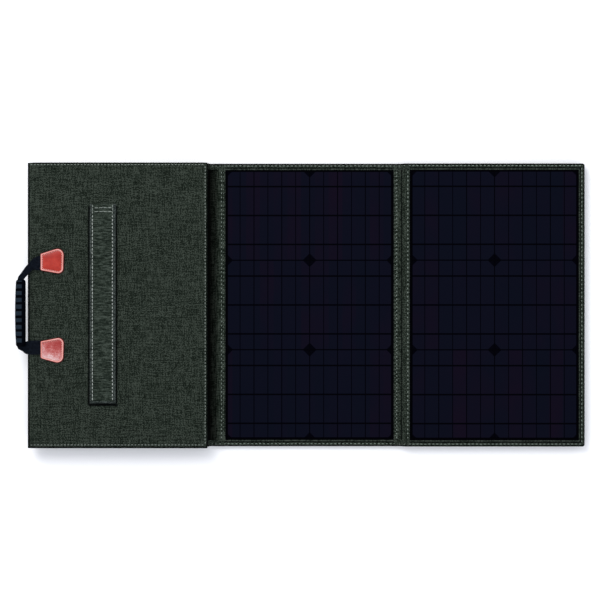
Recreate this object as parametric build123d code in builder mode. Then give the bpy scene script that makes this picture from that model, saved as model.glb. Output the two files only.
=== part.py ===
from build123d import *
import os

os.makedirs("parts", exist_ok=True)

# ---------------------------------------------------------------- driving dimensions (mm)
# Frame: origin at the middle of the underside of the whole laid-out array, +X along
# the row of leaves, +Y along the hinge lines, +Z up.

LEAF_HALF_Y = 250.0          # every leaf is 500 long
WINDOW_HALF_Y = 239.0        # half length of the laminate window
WALL = 1.0                   # canvas thickness
BOARD_T = 5.0                # stiffener thickness
SHEET_T = 1.0                # back sheet
CELL_T = 0.3
RIBBON_T = 0.1
FILM_T = 0.4
LEAF_T = 8.0                 # canvas + board + sheet + border canvas
SHEET_LAP = 4.0              # the back sheet runs this far under the border
CORNER_R = 4.0               # outside corner of a leaf

# leaf: outer low x, outer high x, window low x, window high x, back z, +1 face up / -1 face down
LEAVES = {
    4: (184.2, 500.8, 193.2, 490.2, 6.5, 1),
    3: (-142.4, 172.6, -133.4, 163.6, 0.0, 1),
    2: (-472.0, -165.0, -467.0, -170.0, 16.0, 1),
    1: (-472.0, -164.3, -467.0, -170.0, 32.5, -1),
}

# cells: two columns and three rows a leaf, each cell cut in three upright strips
CELL_PITCH_X, CELL_PITCH_Y = 148.0, 158.4
CELL_W, CELL_H = 147.0, 157.4
CELL_CORNER = 11.3           # cropped corner of a pseudo-square cell
CELL_CUT = 0.6               # gap between two strips of one cell
RIBBON_W = 1.2
RIBBONS_Y = (-51.2, 0.0, 51.2)   # three contact ribbons across a cell row

# hinge strips
HINGE_HALF_Y = 249.0
FOLD_12_X = -480.2           # outside of the fold between leaves 1 and 2

# kickstands
STAND_W = 45.6
STAND_TOP_Y = 177.5          # end of the sewn anchor
STAND_PIVOT_Y = 160.0
STAND_FREE_Y = -172.4
STAND_T = 5.5
STAND_WALL = 1.0
STAND_A_X = -347.5           # middle of the stand on leaf 1
STAND_B_X = 335.0            # middle of the stand on leaf 4
PAD_X, PAD_Y, PAD_T = 30.0, 25.0, 0.6

# handle
GRIP_X0, GRIP_X1 = -500.8, -483.0
GRIP_Z0, GRIP_Z1 = 33.5, 47.5
GRIP_Y0, GRIP_Y1 = -69.0, 43.4
GRIP_RIBS = 9
CORE_W, CORE_T = 10.0, 4.0   # webbing as it is folded inside the grip
WEB_W, WEB_T = 27.0, 1.8
WEB_START_X = -459.5
TAB_X0, TAB_X1 = -456.9, -417.2
TABS = {"upper": (60.2, 89.0, 56.2, 97.0), "lower": (-92.4, -64.1, -100.5, -57.6)}
TAB_TOP = 36.0
WEB_END_X = -428.0           # webbing end under the leather

# pouch on the back of leaf 2
POUCH_X0, POUCH_X1 = -442.0, -202.0
POUCH_HALF_Y = 170.0
POUCH_DEPTH = 16.0
POUCH_WALL = 1.2
ZIP_X0, ZIP_X1 = -434.0, -210.0
ZIP_Z = 8.0

# output box in the pouch
BOX_X0, BOX_X1 = -380.0, -260.0
BOX_HALF_Y = 40.0
BOX_WALL = 2.0
BOX_LID_Z0, BOX_LID_Z1 = 3.0, 5.0
BOSS_R = 3.2
SCREW_X = (BOX_X0 + 5.5, BOX_X1 - 5.5)
SCREW_Y = (-BOX_HALF_Y + 5.5, BOX_HALF_Y - 5.5)


def save(piece, name):
    """Label a finished piece and write its STEP file."""
    piece.label = name
    export_step(piece, f"parts/{name}.step")


def span(back_z, face, low, high):
    """Heights above the back of a leaf, as a low z and a thickness."""
    a, b = back_z + face * low, back_z + face * high
    return min(a, b), abs(b - a)


# ---------------------------------------------------------------- the four leaves
for n, (x0, x1, wx0, wx1, back_z, face) in LEAVES.items():
    cx, w = (x0 + x1) / 2, x1 - x0
    wcx, ww = (wx0 + wx1) / 2, wx1 - wx0

    # canvas back of the leaf
    z, t = span(back_z, face, 0, WALL)
    with BuildPart() as back_cover:
        with BuildSketch(Plane.XY.offset(z)):
            with Locations((cx, 0)):
                RectangleRounded(w, 2 * LEAF_HALF_Y, CORNER_R)
        extrude(amount=t)
    save(back_cover.part, f"leaf{n}_back_cover")

    # stiffening board
    z, t = span(back_z, face, WALL, WALL + BOARD_T)
    with BuildPart() as board:
        with BuildSketch(Plane.XY.offset(z)):
            with Locations((cx, 0)):
                RectangleRounded(w - 2 * WALL, 2 * LEAF_HALF_Y - 2 * WALL, CORNER_R - WALL)
        extrude(amount=t)
    save(board.part, f"leaf{n}_board")

    # black back sheet of the laminate
    z, t = span(back_z, face, WALL + BOARD_T, WALL + BOARD_T + SHEET_T)
    with BuildPart() as backsheet:
        with BuildSketch(Plane.XY.offset(z)):
            with Locations((wcx, 0)):
                Rectangle(ww + 2 * SHEET_LAP, 2 * (WINDOW_HALF_Y + SHEET_LAP))
        extrude(amount=t)
    save(backsheet.part, f"leaf{n}_backsheet")

    # canvas border: a frame on the face and a wall round the edge of the board
    base = WALL + BOARD_T + SHEET_T
    z, t = span(back_z, face, WALL, LEAF_T)
    z_low, t_low = span(back_z, face, WALL, base)
    with BuildPart() as border:
        with BuildSketch(Plane.XY.offset(z)):
            with Locations((cx, 0)):
                RectangleRounded(w, 2 * LEAF_HALF_Y, CORNER_R)
            with Locations((wcx, 0)):
                Rectangle(ww, 2 * WINDOW_HALF_Y, mode=Mode.SUBTRACT)
        extrude(amount=t)
        with BuildSketch(Plane.XY.offset(z_low)):
            with Locations((cx, 0)):
                RectangleRounded(w - 2 * WALL, 2 * LEAF_HALF_Y - 2 * WALL, CORNER_R - WALL)
        extrude(amount=t_low, mode=Mode.SUBTRACT)
    save(border.part, f"leaf{n}_border")

    # cells: every cell is cut in three strips, the outer two with cropped corners
    z, t = span(back_z, face, base, base + CELL_T)
    strip = (CELL_W - 2 * CELL_CUT) / 3
    with BuildPart() as cells:
        with BuildSketch(Plane.XY.offset(z)):
            for i in (-0.5, 0.5):
                for j in (-1, 0, 1):
                    lx = wcx + i * CELL_PITCH_X - CELL_W / 2
                    by = j * CELL_PITCH_Y - CELL_H / 2
                    hx, ty = lx + CELL_W, by + CELL_H
                    c = CELL_CORNER
                    Polygon(
                        (lx, by + c), (lx + c, by), (lx + strip, by),
                        (lx + strip, ty), (lx + c, ty), (lx, ty - c), align=None,
                    )
                    Polygon(
                        (lx + strip + CELL_CUT, by), (lx + 2 * strip + CELL_CUT, by),
                        (lx + 2 * strip + CELL_CUT, ty), (lx + strip + CELL_CUT, ty),
                        align=None,
                    )
                    Polygon(
                        (hx - strip, by), (hx - c, by), (hx, by + c),
                        (hx, ty - c), (hx - c, ty), (hx - strip, ty), align=None,
                    )
        extrude(amount=t)
    save(cells.part, f"leaf{n}_cells")

    # contact ribbons across the cells
    z, t = span(back_z, face, base + CELL_T, base + CELL_T + RIBBON_T)
    with BuildPart() as ribbons:
        with BuildSketch(Plane.XY.offset(z)):
            for j in (-1, 0, 1):
                for dy in RIBBONS_Y:
                    with Locations((wcx, j * CELL_PITCH_Y + dy)):
                        Rectangle(CELL_PITCH_X + CELL_W - 2, RIBBON_W)
        extrude(amount=t)
    save(ribbons.part, f"leaf{n}_ribbons")

    # textured front film over the cells
    z, t = span(back_z, face, base + CELL_T + RIBBON_T, base + CELL_T + RIBBON_T + FILM_T)
    with BuildPart() as film:
        with BuildSketch(Plane.XY.offset(z)):
            with Locations((wcx, 0)):
                Rectangle(ww - 0.4, 2 * WINDOW_HALF_Y - 0.4)
        extrude(amount=t)
    save(film.part, f"leaf{n}_film")

# ---------------------------------------------------------------- fabric hinges
# section of each strip in the XZ plane, drawn out along Y
SIDE = Plane.XZ.offset(-HINGE_HALF_Y)

with BuildPart() as hinge_34_front:
    with BuildSketch(SIDE):
        Polygon((172.6, 7.0), (184.2, 13.5), (184.2, 14.5), (172.6, 8.0), align=None)
    extrude(amount=2 * HINGE_HALF_Y)
save(hinge_34_front.part, "hinge_34_front")

with BuildPart() as hinge_34_back:
    with BuildSketch(SIDE):
        Polygon((172.6, 0.5), (184.2, 7.0), (184.2, 8.0), (172.6, 1.5), align=None)
    extrude(amount=2 * HINGE_HALF_Y)
save(hinge_34_back.part, "hinge_34_back")

with BuildPart() as hinge_23:
    with BuildSketch(SIDE):
        Polygon(
            (-165.0, 22.8), (-164.2, 22.0), (-162.6, 13.4), (-142.4, 7.0), (-142.4, 8.0),
            (-161.8, 14.2), (-163.2, 22.6), (-164.2, 23.8), (-165.0, 23.8), align=None,
        )
    extrude(amount=2 * HINGE_HALF_Y)
save(hinge_23.part, "hinge_23")

with BuildPart() as hinge_12:
    with BuildSketch(SIDE):
        Polygon(
            (-472.0, 16.0), (-476.4, 16.8), (-479.2, 19.6), (FOLD_12_X, 24.25),
            (-479.2, 28.9), (-476.4, 31.7), (-472.0, 32.5), (-472.0, 31.5),
            (-475.9, 30.8), (-478.3, 28.4), (FOLD_12_X + 1.0, 24.25), (-478.3, 20.1),
            (-475.9, 17.7), (-472.0, 17.0), align=None,
        )
    extrude(amount=2 * HINGE_HALF_Y)
save(hinge_12.part, "hinge_12")

# ---------------------------------------------------------------- kickstands
# name, middle x, z of the leaf's back, +1 if the stand lies above that back
for name, sx, back_z, side in (
    ("kickstand_a", STAND_A_X, 32.5, 1),
    ("kickstand_b", STAND_B_X, 6.5, -1),
):
    lift = 0.9 if side > 0 else 1.0      # clear of the leaf's back and of the pad
    # sewn end of the fabric, fixed on the leaf
    z, t = span(back_z, side, 0, 2.0)
    with BuildPart() as anchor:
        with BuildSketch(Plane.XY.offset(z)):
            with Locations((sx, (STAND_TOP_Y + STAND_PIVOT_Y + 1.0) / 2)):
                Rectangle(STAND_W, STAND_TOP_Y - STAND_PIVOT_Y - 1.0)
        extrude(amount=t)
    save(anchor.part, f"{name}_anchor")

    # fabric sleeve, open at its hinge end, where the board slides in
    top_y = STAND_PIVOT_Y - 1.5
    z, t = span(back_z, side, lift, lift + STAND_T)
    zi, ti = span(back_z, side, lift + STAND_WALL, lift + STAND_T - STAND_WALL)
    with BuildPart() as sleeve:
        with BuildSketch(Plane.XY.offset(z)):
            with Locations((sx, (top_y + STAND_FREE_Y) / 2)):
                RectangleRounded(STAND_W, top_y - STAND_FREE_Y, 2.0)
        extrude(amount=t)
        with BuildSketch(Plane.XY.offset(zi)):
            with Locations((sx, (top_y + STAND_FREE_Y + 3.0) / 2)):
                Rectangle(STAND_W - 6.0, top_y - STAND_FREE_Y - 3.0)
        extrude(amount=ti, mode=Mode.SUBTRACT)
    save(sleeve.part, f"{name}_cover")

    with BuildPart() as stiffener:
        with BuildSketch(Plane.XY.offset(zi)):
            with Locations((sx, (top_y - 2.0 + STAND_FREE_Y + 3.0) / 2)):
                Rectangle(STAND_W - 6.0, top_y - 2.0 - STAND_FREE_Y - 3.0)
        extrude(amount=ti)
    save(stiffener.part, f"{name}_board")

    # hook-and-loop pad that holds the free end
    z, t = span(back_z, side, 0, PAD_T)
    with BuildPart() as pad:
        with BuildSketch(Plane.XY.offset(z)):
            with Locations((sx, STAND_FREE_Y + 30.0)):
                RectangleRounded(PAD_X, PAD_Y, 3.0)
        extrude(amount=t)
    save(pad.part, f"{name}_pad")

# ---------------------------------------------------------------- handle
core_x, core_z = (GRIP_X0 + GRIP_X1) / 2, (GRIP_Z0 + GRIP_Z1) / 2
web_z = 32.5 + 0.4 + WEB_T / 2           # middle height of the flat webbing
grip_len = GRIP_Y1 - GRIP_Y0
grip_w, grip_h = GRIP_X1 - GRIP_X0, GRIP_Z1 - GRIP_Z0


def flat_section(y_mid):
    """Webbing lying flat where it comes out from under a tab."""
    return Plane(origin=(WEB_START_X, y_mid, web_z), x_dir=(0, 1, 0), z_dir=(-1, 0, 0))


# the webbing: flat at both tabs, folded narrow where it runs through the grip
with BuildPart() as webbing_core:
    with BuildSketch(Plane(origin=(core_x, GRIP_Y0, core_z), x_dir=(1, 0, 0), z_dir=(0, 1, 0))):
        Rectangle(CORE_W, CORE_T)
    extrude(amount=grip_len)
with BuildPart() as webbing_upper:
    with BuildSketch(flat_section(74.6)):
        Rectangle(WEB_W, WEB_T)
    with BuildSketch(Plane(origin=(-480.5, 68.5, web_z + 1.0), x_dir=(-0.55, 0.835, 0), z_dir=(-0.835, -0.55, 0))):
        Rectangle(20.0, 2.4)
    with BuildSketch(Plane(origin=(core_x, GRIP_Y1, core_z), x_dir=(-1, 0, 0), z_dir=(0, -1, 0))):
        Rectangle(CORE_W, CORE_T)
    loft(ruled=True)
with BuildPart() as webbing_lower:
    with BuildSketch(flat_section(-78.2)):
        Rectangle(WEB_W, WEB_T)
    with BuildSketch(Plane(origin=(-482.0, -78.8, web_z + 1.0), x_dir=(0.3, 0.954, 0), z_dir=(-0.954, 0.3, 0))):
        Rectangle(22.0, 2.4)
    with BuildSketch(Plane(origin=(core_x, GRIP_Y0, core_z), x_dir=(1, 0, 0), z_dir=(0, 1, 0))):
        Rectangle(CORE_W, CORE_T)
    loft(ruled=True)
with BuildPart() as handle_webbing:
    add(webbing_core.part)
    add(webbing_upper.part)
    add(webbing_lower.part)
save(handle_webbing.part, "handle_webbing")

# rubber grip: a sleeve with ribs round its outer side
with BuildPart() as handle_grip:
    with BuildSketch(Plane(origin=(core_x, GRIP_Y0, core_z), x_dir=(1, 0, 0), z_dir=(0, -1, 0))):
        RectangleRounded(grip_w, grip_h, 5.5)
    extrude(amount=-grip_len)
    pitch = grip_len / GRIP_RIBS
    for k in range(1, GRIP_RIBS):
        y = GRIP_Y0 + k * pitch
        with BuildSketch(Plane(origin=(core_x, y - 1.2, core_z), x_dir=(1, 0, 0), z_dir=(0, -1, 0))):
            RectangleRounded(grip_w + 2, grip_h + 2, 6.0)
            RectangleRounded(grip_w - 2.4, grip_h - 2.4, 4.3, mode=Mode.SUBTRACT)
            with Locations((grip_w / 2, 0)):
                Rectangle(8.0, grip_h + 4, mode=Mode.SUBTRACT)
        extrude(amount=-2.4, mode=Mode.SUBTRACT)
    with BuildSketch(Plane(origin=(core_x, GRIP_Y0, core_z), x_dir=(1, 0, 0), z_dir=(0, -1, 0))):
        Rectangle(CORE_W, CORE_T)
    extrude(amount=-grip_len, mode=Mode.SUBTRACT)
save(handle_grip.part, "handle_grip")

# webbing ends, sewn flat under the tabs
with BuildPart() as webbing_ends:
    with BuildSketch(Plane.XY.offset(32.5)):
        for y_mid in (74.6, -78.2):
            with Locations(((TAB_X0 + WEB_END_X) / 2, y_mid)):
                Rectangle(WEB_END_X - TAB_X0, WEB_W)
    extrude(amount=WEB_T)
save(webbing_ends.part, "webbing_ends")

# leather tabs: narrow where the webbing leaves, wide and rounded at the other end
for name, (n0, n1, w0, w1) in TABS.items():
    with BuildPart() as tab:
        with BuildSketch(Plane.XY.offset(32.5)) as outline:
            Polygon((TAB_X0, n0), (TAB_X1, w0), (TAB_X1, w1), (TAB_X0, n1), align=None)
            fillet(outline.vertices().group_by(Axis.X)[-1], 7.0)
            fillet(outline.vertices().group_by(Axis.X)[0], 1.5)
        extrude(amount=TAB_TOP - 32.5)
        with BuildSketch(Plane.XY.offset(32.5)):
            with Locations(((TAB_X0 + WEB_END_X) / 2 - 1.0, (74.6 if name == "upper" else -78.2))):
                Rectangle(WEB_END_X - TAB_X0 + 2.0, WEB_W)
        extrude(amount=WEB_T, mode=Mode.SUBTRACT)
        fillet(tab.faces().sort_by(Axis.Z)[-1].edges(), 0.8)
    save(tab.part, f"handle_tab_{name}")

# ---------------------------------------------------------------- accessory pouch
pcx, pw = (POUCH_X0 + POUCH_X1) / 2, POUCH_X1 - POUCH_X0
with BuildPart() as pouch_panel:
    with BuildSketch():
        with Locations((pcx, 0)):
            RectangleRounded(pw, 2 * POUCH_HALF_Y, 8.0)
    extrude(amount=POUCH_WALL)
save(pouch_panel.part, "pouch_panel")

with BuildPart() as pouch_gusset:
    with BuildSketch(Plane.XY.offset(POUCH_WALL)):
        with Locations((pcx, 0)):
            RectangleRounded(pw, 2 * POUCH_HALF_Y, 8.0)
            RectangleRounded(pw - 2 * POUCH_WALL, 2 * (POUCH_HALF_Y - POUCH_WALL), 8.0 - POUCH_WALL, mode=Mode.SUBTRACT)
    extrude(amount=POUCH_DEPTH - POUCH_WALL)
    # the mouth, in the front wall
    with BuildSketch(Plane.XZ.offset(POUCH_HALF_Y - 3.0)):
        with Locations(((ZIP_X0 + ZIP_X1) / 2, ZIP_Z)):
            Rectangle(ZIP_X1 - ZIP_X0 - 12.0, 1.0)
    extrude(amount=6.0, mode=Mode.SUBTRACT)
save(pouch_gusset.part, "pouch_gusset")

zip_len, zip_cx = ZIP_X1 - ZIP_X0, (ZIP_X0 + ZIP_X1) / 2
with BuildPart() as zip_tape:
    with BuildSketch(Plane.XZ.offset(POUCH_HALF_Y)):
        for dz in (-3.0, 3.0):
            with Locations((zip_cx, ZIP_Z + dz)):
                Rectangle(zip_len, 5.0)
    extrude(amount=0.8)
save(zip_tape.part, "zip_tape")

with BuildPart() as zip_coil:
    with BuildSketch(Plane.XZ.offset(POUCH_HALF_Y + 0.8)):
        with Locations((zip_cx, ZIP_Z)):
            Rectangle(zip_len - 8.0, 2.4)
    extrude(amount=1.2)
save(zip_coil.part, "zip_coil")

# slider: a block that runs over the coil
SLIDER_X = ZIP_X0 + 12.0
with BuildPart() as zip_slider:
    with BuildSketch(Plane.XZ.offset(POUCH_HALF_Y + 1.1)):
        with Locations((SLIDER_X, ZIP_Z)):
            RectangleRounded(9.0, 7.6, 2.0)
    extrude(amount=2.6)
    with BuildSketch(Plane.XZ.offset(POUCH_HALF_Y + 1.1)):
        with Locations((SLIDER_X, ZIP_Z)):
            Rectangle(12.0, 3.2)
    extrude(amount=1.3, mode=Mode.SUBTRACT)
    # bridge that holds the pull
    with BuildSketch(Plane.XZ.offset(POUCH_HALF_Y + 3.7)):
        with Locations((SLIDER_X - 2.6, ZIP_Z), (SLIDER_X + 2.6, ZIP_Z)):
            Rectangle(1.4, 3.0)
    extrude(amount=1.6)
    with BuildSketch(Plane.XZ.offset(POUCH_HALF_Y + 5.3)):
        with Locations((SLIDER_X, ZIP_Z)):
            Rectangle(6.6, 3.0)
    extrude(amount=1.0)
save(zip_slider.part, "zip_slider")

# soft pull tab through the bridge, lying along the zip
with BuildPart() as zip_pull:
    with BuildSketch(Plane.XZ.offset(POUCH_HALF_Y + 3.9)):
        with Locations((SLIDER_X + 11.4, ZIP_Z)):
            RectangleRounded(25.0, 6.6, 2.0)
        with Locations((SLIDER_X + 2.6, ZIP_Z)):
            Rectangle(2.0, 3.6, mode=Mode.SUBTRACT)
        with Locations((SLIDER_X - 2.0, ZIP_Z)):
            Rectangle(4.0, 8.0, mode=Mode.SUBTRACT)
    extrude(amount=1.1)
save(zip_pull.part, "zip_pull")

# ---------------------------------------------------------------- output box
bcx, bw = (BOX_X0 + BOX_X1) / 2, BOX_X1 - BOX_X0
SOCKET_DC_X, SOCKET_USB_X, SOCKET_Z = -350.0, -300.0, 9.6
with BuildPart() as box_base:
    with BuildSketch(Plane.XY.offset(BOX_LID_Z1)):
        with Locations((bcx, 0)):
            RectangleRounded(bw, 2 * BOX_HALF_Y, 4.0)
    extrude(amount=POUCH_DEPTH - BOX_LID_Z1)
    with BuildSketch(Plane.XY.offset(BOX_LID_Z1)):
        with Locations((bcx, 0)):
            RectangleRounded(bw - 2 * BOX_WALL, 2 * (BOX_HALF_Y - BOX_WALL), 2.0)
    extrude(amount=POUCH_DEPTH - BOX_LID_Z1 - BOX_WALL, mode=Mode.SUBTRACT)
    with BuildSketch(Plane.XY.offset(BOX_LID_Z1)):
        with Locations(*[(x, y) for x in SCREW_X for y in SCREW_Y]):
            Circle(BOSS_R)
    extrude(amount=POUCH_DEPTH - BOX_LID_Z1 - BOX_WALL)
    with BuildSketch(Plane.XY.offset(BOX_LID_Z1)):
        with Locations(*[(x, y) for x in SCREW_X for y in SCREW_Y]):
            Circle(1.25)
    extrude(amount=7.0, mode=Mode.SUBTRACT)
    # socket openings in the front wall
    with BuildSketch(Plane.XZ.offset(BOX_HALF_Y - 3.0)):
        with Locations((SOCKET_DC_X, SOCKET_Z)):
            Circle(3.9)
        with Locations((SOCKET_USB_X, SOCKET_Z)):
            Rectangle(14.6, 7.0)
    extrude(amount=4.0, mode=Mode.SUBTRACT)
save(box_base.part, "output_box_base")

with BuildPart() as box_lid:
    with BuildSketch(Plane.XY.offset(BOX_LID_Z0)):
        with Locations((bcx, 0)):
            RectangleRounded(bw, 2 * BOX_HALF_Y, 4.0)
    extrude(amount=BOX_LID_Z1 - BOX_LID_Z0)
    with BuildSketch(Plane.XY.offset(BOX_LID_Z0)):
        with Locations(*[(x, y) for x in SCREW_X for y in SCREW_Y]):
            Circle(1.5)
    extrude(amount=BOX_LID_Z1 - BOX_LID_Z0, mode=Mode.SUBTRACT)
    with BuildSketch(Plane.XY.offset(BOX_LID_Z0)):
        with Locations(*[(x, y) for x in SCREW_X for y in SCREW_Y]):
            Circle(2.7)
    extrude(amount=1.2, mode=Mode.SUBTRACT)
save(box_lid.part, "output_box_lid")

with BuildPart() as box_screws:
    with BuildSketch(Plane.XY.offset(BOX_LID_Z0)):
        with Locations(*[(x, y) for x in SCREW_X for y in SCREW_Y]):
            Circle(2.5)
    extrude(amount=1.2)
    with BuildSketch(Plane.XY.offset(BOX_LID_Z0 + 1.2)):
        with Locations(*[(x, y) for x in SCREW_X for y in SCREW_Y]):
            Circle(1.2)
    extrude(amount=6.4)
    with BuildSketch(Plane.XY.offset(BOX_LID_Z0)):
        with Locations(*[(x, y) for x in SCREW_X for y in SCREW_Y]):
            Rectangle(2.8, 0.6)
            Rectangle(0.6, 2.8)
    extrude(amount=0.7, mode=Mode.SUBTRACT)
save(box_screws.part, "output_box_screws")

with BuildPart() as circuit_board:
    with BuildSketch(Plane.XY.offset(9.0)):
        with Locations((bcx, 7.0)):
            Rectangle(bw - 2 * BOX_WALL - 14.0, 58.0)
    extrude(amount=1.6)
save(circuit_board.part, "circuit_board")

with BuildPart() as diodes:
    with BuildSketch(Plane.XY.offset(6.4)):
        with Locations((-345.0, 12.0), (-320.0, 12.0), (-295.0, 12.0)):
            RectangleRounded(10.0, 8.0, 1.0)
    extrude(amount=2.6)
save(diodes.part, "bypass_diodes")

# round DC socket with its centre pin
with BuildPart() as dc_socket:
    with BuildSketch(Plane.XZ.offset(BOX_HALF_Y)):
        with Locations((SOCKET_DC_X, SOCKET_Z)):
            Circle(4.4)
    extrude(amount=1.0)
    with BuildSketch(Plane.XZ.offset(BOX_HALF_Y)):
        with Locations((SOCKET_DC_X, SOCKET_Z)):
            Circle(3.9)
    extrude(amount=-14.0)
    with BuildSketch(Plane.XZ.offset(BOX_HALF_Y + 1.0)):
        with Locations((SOCKET_DC_X, SOCKET_Z)):
            Circle(2.8)
            Circle(1.05, mode=Mode.SUBTRACT)
    extrude(amount=-12.0, mode=Mode.SUBTRACT)
save(dc_socket.part, "dc_socket")

# USB socket: folded shell with a tongue
with BuildPart() as usb_socket:
    with BuildSketch(Plane.XZ.offset(BOX_HALF_Y + 0.6)):
        with Locations((SOCKET_USB_X, SOCKET_Z)):
            Rectangle(14.6, 7.0)
    extrude(amount=-15.0)
    with BuildSketch(Plane.XZ.offset(BOX_HALF_Y + 0.6)):
        with Locations((SOCKET_USB_X, SOCKET_Z)):
            Rectangle(13.0, 5.6)
        with Locations((SOCKET_USB_X, SOCKET_Z + 1.3)):
            Rectangle(11.0, 1.8, mode=Mode.SUBTRACT)
    extrude(amount=-13.5, mode=Mode.SUBTRACT)
save(usb_socket.part, "usb_socket")
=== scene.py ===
import bpy, bmesh, math, random
import numpy as np
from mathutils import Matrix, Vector, noise


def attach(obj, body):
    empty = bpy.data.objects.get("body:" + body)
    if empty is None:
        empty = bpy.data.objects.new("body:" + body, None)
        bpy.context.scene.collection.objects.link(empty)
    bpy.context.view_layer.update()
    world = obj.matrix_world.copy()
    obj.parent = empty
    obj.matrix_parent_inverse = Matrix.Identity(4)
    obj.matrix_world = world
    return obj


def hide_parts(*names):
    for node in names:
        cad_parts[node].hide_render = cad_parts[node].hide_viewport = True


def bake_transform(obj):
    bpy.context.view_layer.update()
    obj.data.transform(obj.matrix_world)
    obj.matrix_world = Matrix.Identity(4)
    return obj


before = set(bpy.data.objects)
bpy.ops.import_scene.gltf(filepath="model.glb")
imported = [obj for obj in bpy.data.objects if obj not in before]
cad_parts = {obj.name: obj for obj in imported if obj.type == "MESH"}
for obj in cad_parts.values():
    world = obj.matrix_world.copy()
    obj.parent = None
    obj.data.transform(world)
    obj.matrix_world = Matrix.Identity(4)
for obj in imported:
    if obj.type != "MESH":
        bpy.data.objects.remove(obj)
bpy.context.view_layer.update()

MM = 0.001
random.seed(7)
rng = np.random.default_rng(7)
C = bpy.context
SC = C.scene


# ------------------------------------------------------------------ materials
def new_mat(name):
    m = bpy.data.materials.new(name)
    m.use_nodes = True
    nt = m.node_tree
    return m, nt, nt.nodes["Principled BSDF"]


def node(nt, kind, **props):
    n = nt.nodes.new(kind)
    for k, v in props.items():
        setattr(n, k, v)
    return n


def math_node(nt, op, a, b=None, clamp=False):
    n = node(nt, "ShaderNodeMath", operation=op)
    n.use_clamp = clamp
    for i, v in enumerate((a, b)):
        if v is None:
            continue
        if isinstance(v, (int, float)):
            n.inputs[i].default_value = v
        else:
            nt.links.new(v, n.inputs[i])
    return n.outputs[0]


def scaled(nt, scale, coord="Object"):
    tc = node(nt, "ShaderNodeTexCoord")
    mp = node(nt, "ShaderNodeMapping")
    nt.links.new(tc.outputs[coord], mp.inputs["Vector"])
    mp.inputs["Scale"].default_value = scale
    return mp.outputs["Vector"]


def noise_tex(nt, vec, scale=1.0, detail=2.0, rough=0.5):
    n = node(nt, "ShaderNodeTexNoise")
    n.inputs["Scale"].default_value = scale
    n.inputs["Detail"].default_value = detail
    n.inputs["Roughness"].default_value = rough
    nt.links.new(vec, n.inputs["Vector"])
    return n.outputs["Fac"]


def ramp(nt, fac, stops):
    r = node(nt, "ShaderNodeValToRGB")
    els = r.color_ramp.elements
    while len(els) > 1:
        els.remove(els[-1])
    els[0].position, els[0].color = stops[0][0], (*stops[0][1], 1)
    for p, c in stops[1:]:
        e = els.new(p)
        e.color = (*c, 1)
    nt.links.new(fac, r.inputs["Fac"])
    return r.outputs["Color"]


def bump(nt, bsdf, height, strength, dist):
    b = node(nt, "ShaderNodeBump")
    b.inputs["Strength"].default_value = strength
    b.inputs["Distance"].default_value = dist
    nt.links.new(height, b.inputs["Height"])
    nt.links.new(b.outputs["Normal"], bsdf.inputs["Normal"])


def set_in(bsdf, **kw):
    for k, v in kw.items():
        bsdf.inputs[k.replace("_", " ")].default_value = v


def weave_height(nt, pitch_mm):
    """Over-and-under threads at the given pitch, 0 to 1."""
    f = 2 * math.pi / (pitch_mm * MM)
    v = scaled(nt, (f, f, f))
    s = node(nt, "ShaderNodeSeparateXYZ")
    nt.links.new(v, s.inputs[0])
    sx, sy = math_node(nt, "SINE", s.outputs[0]), math_node(nt, "SINE", s.outputs[1])
    sz = math_node(nt, "SINE", s.outputs[2])
    a = math_node(nt, "MULTIPLY", sx, sy)
    b = math_node(nt, "MULTIPLY", sy, sz)
    c = math_node(nt, "MULTIPLY", sx, sz)
    return math_node(nt, "ADD", math_node(nt, "ADD", a, b), c)


def canvas_material(name, dark, mid, light, streak=1.0):
    m, nt, b = new_mat(name)
    warp = noise_tex(nt, scaled(nt, (40, 520, 520)), 1.0, 1.0, 0.4)
    weft = noise_tex(nt, scaled(nt, (520, 40, 520)), 1.0, 1.0, 0.4)
    patch = noise_tex(nt, scaled(nt, (22, 22, 22)), 1.0, 2.0, 0.5)
    fine = noise_tex(nt, scaled(nt, (560, 560, 560)), 1.0, 0.0, 0.5)
    t = math_node(nt, "ADD", warp, weft)
    t = math_node(nt, "SUBTRACT", t, 1.0)
    t = math_node(nt, "MULTIPLY", t, 1.25 * streak)
    p = math_node(nt, "MULTIPLY", math_node(nt, "SUBTRACT", patch, 0.5), 0.22)
    q = math_node(nt, "MULTIPLY", math_node(nt, "SUBTRACT", fine, 0.5), 2.3)
    t = math_node(nt, "ADD", math_node(nt, "ADD", t, p), q)
    t = math_node(nt, "ADD", t, 0.5, clamp=True)
    col = ramp(nt, t, [(0.12, dark), (0.5, mid), (0.9, light)])
    nt.links.new(col, b.inputs["Base Color"])
    w = weave_height(nt, 1.15)
    h = math_node(nt, "ADD", math_node(nt, "MULTIPLY", w, 0.25), t)
    bump(nt, b, h, 0.75, 0.00045)
    set_in(b, Roughness=0.92, Specular_IOR_Level=0.04)
    return m


CANVAS = canvas_material("canvas_green", (0.0045, 0.0070, 0.0048), (0.0145, 0.0205, 0.0152), (0.0360, 0.0450, 0.0360))
CANVAS_HEM = canvas_material("canvas_hem", (0.0085, 0.0115, 0.0090), (0.0205, 0.0275, 0.0215), (0.0420, 0.0510, 0.0430))
# paler copy of the canvas: painted highlight on the kickstand's rounded edges
CANVAS_EDGE_HIGHLIGHT = canvas_material("canvas_edge_painted_highlight", (0.0115, 0.0150, 0.0140), (0.0255, 0.0320, 0.0295), (0.0500, 0.0600, 0.0560), 0.8)
# near-black copy of the canvas: real tapes, piping and zip tapes, and also painted shade where it is laid on rounded
# edges, folds and creases
BINDING_AND_EDGE_SHADE = canvas_material("binding_and_painted_edge_shade", (0.0003, 0.0006, 0.0005), (0.0012, 0.0021, 0.0018), (0.0042, 0.0062, 0.0055))


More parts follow.
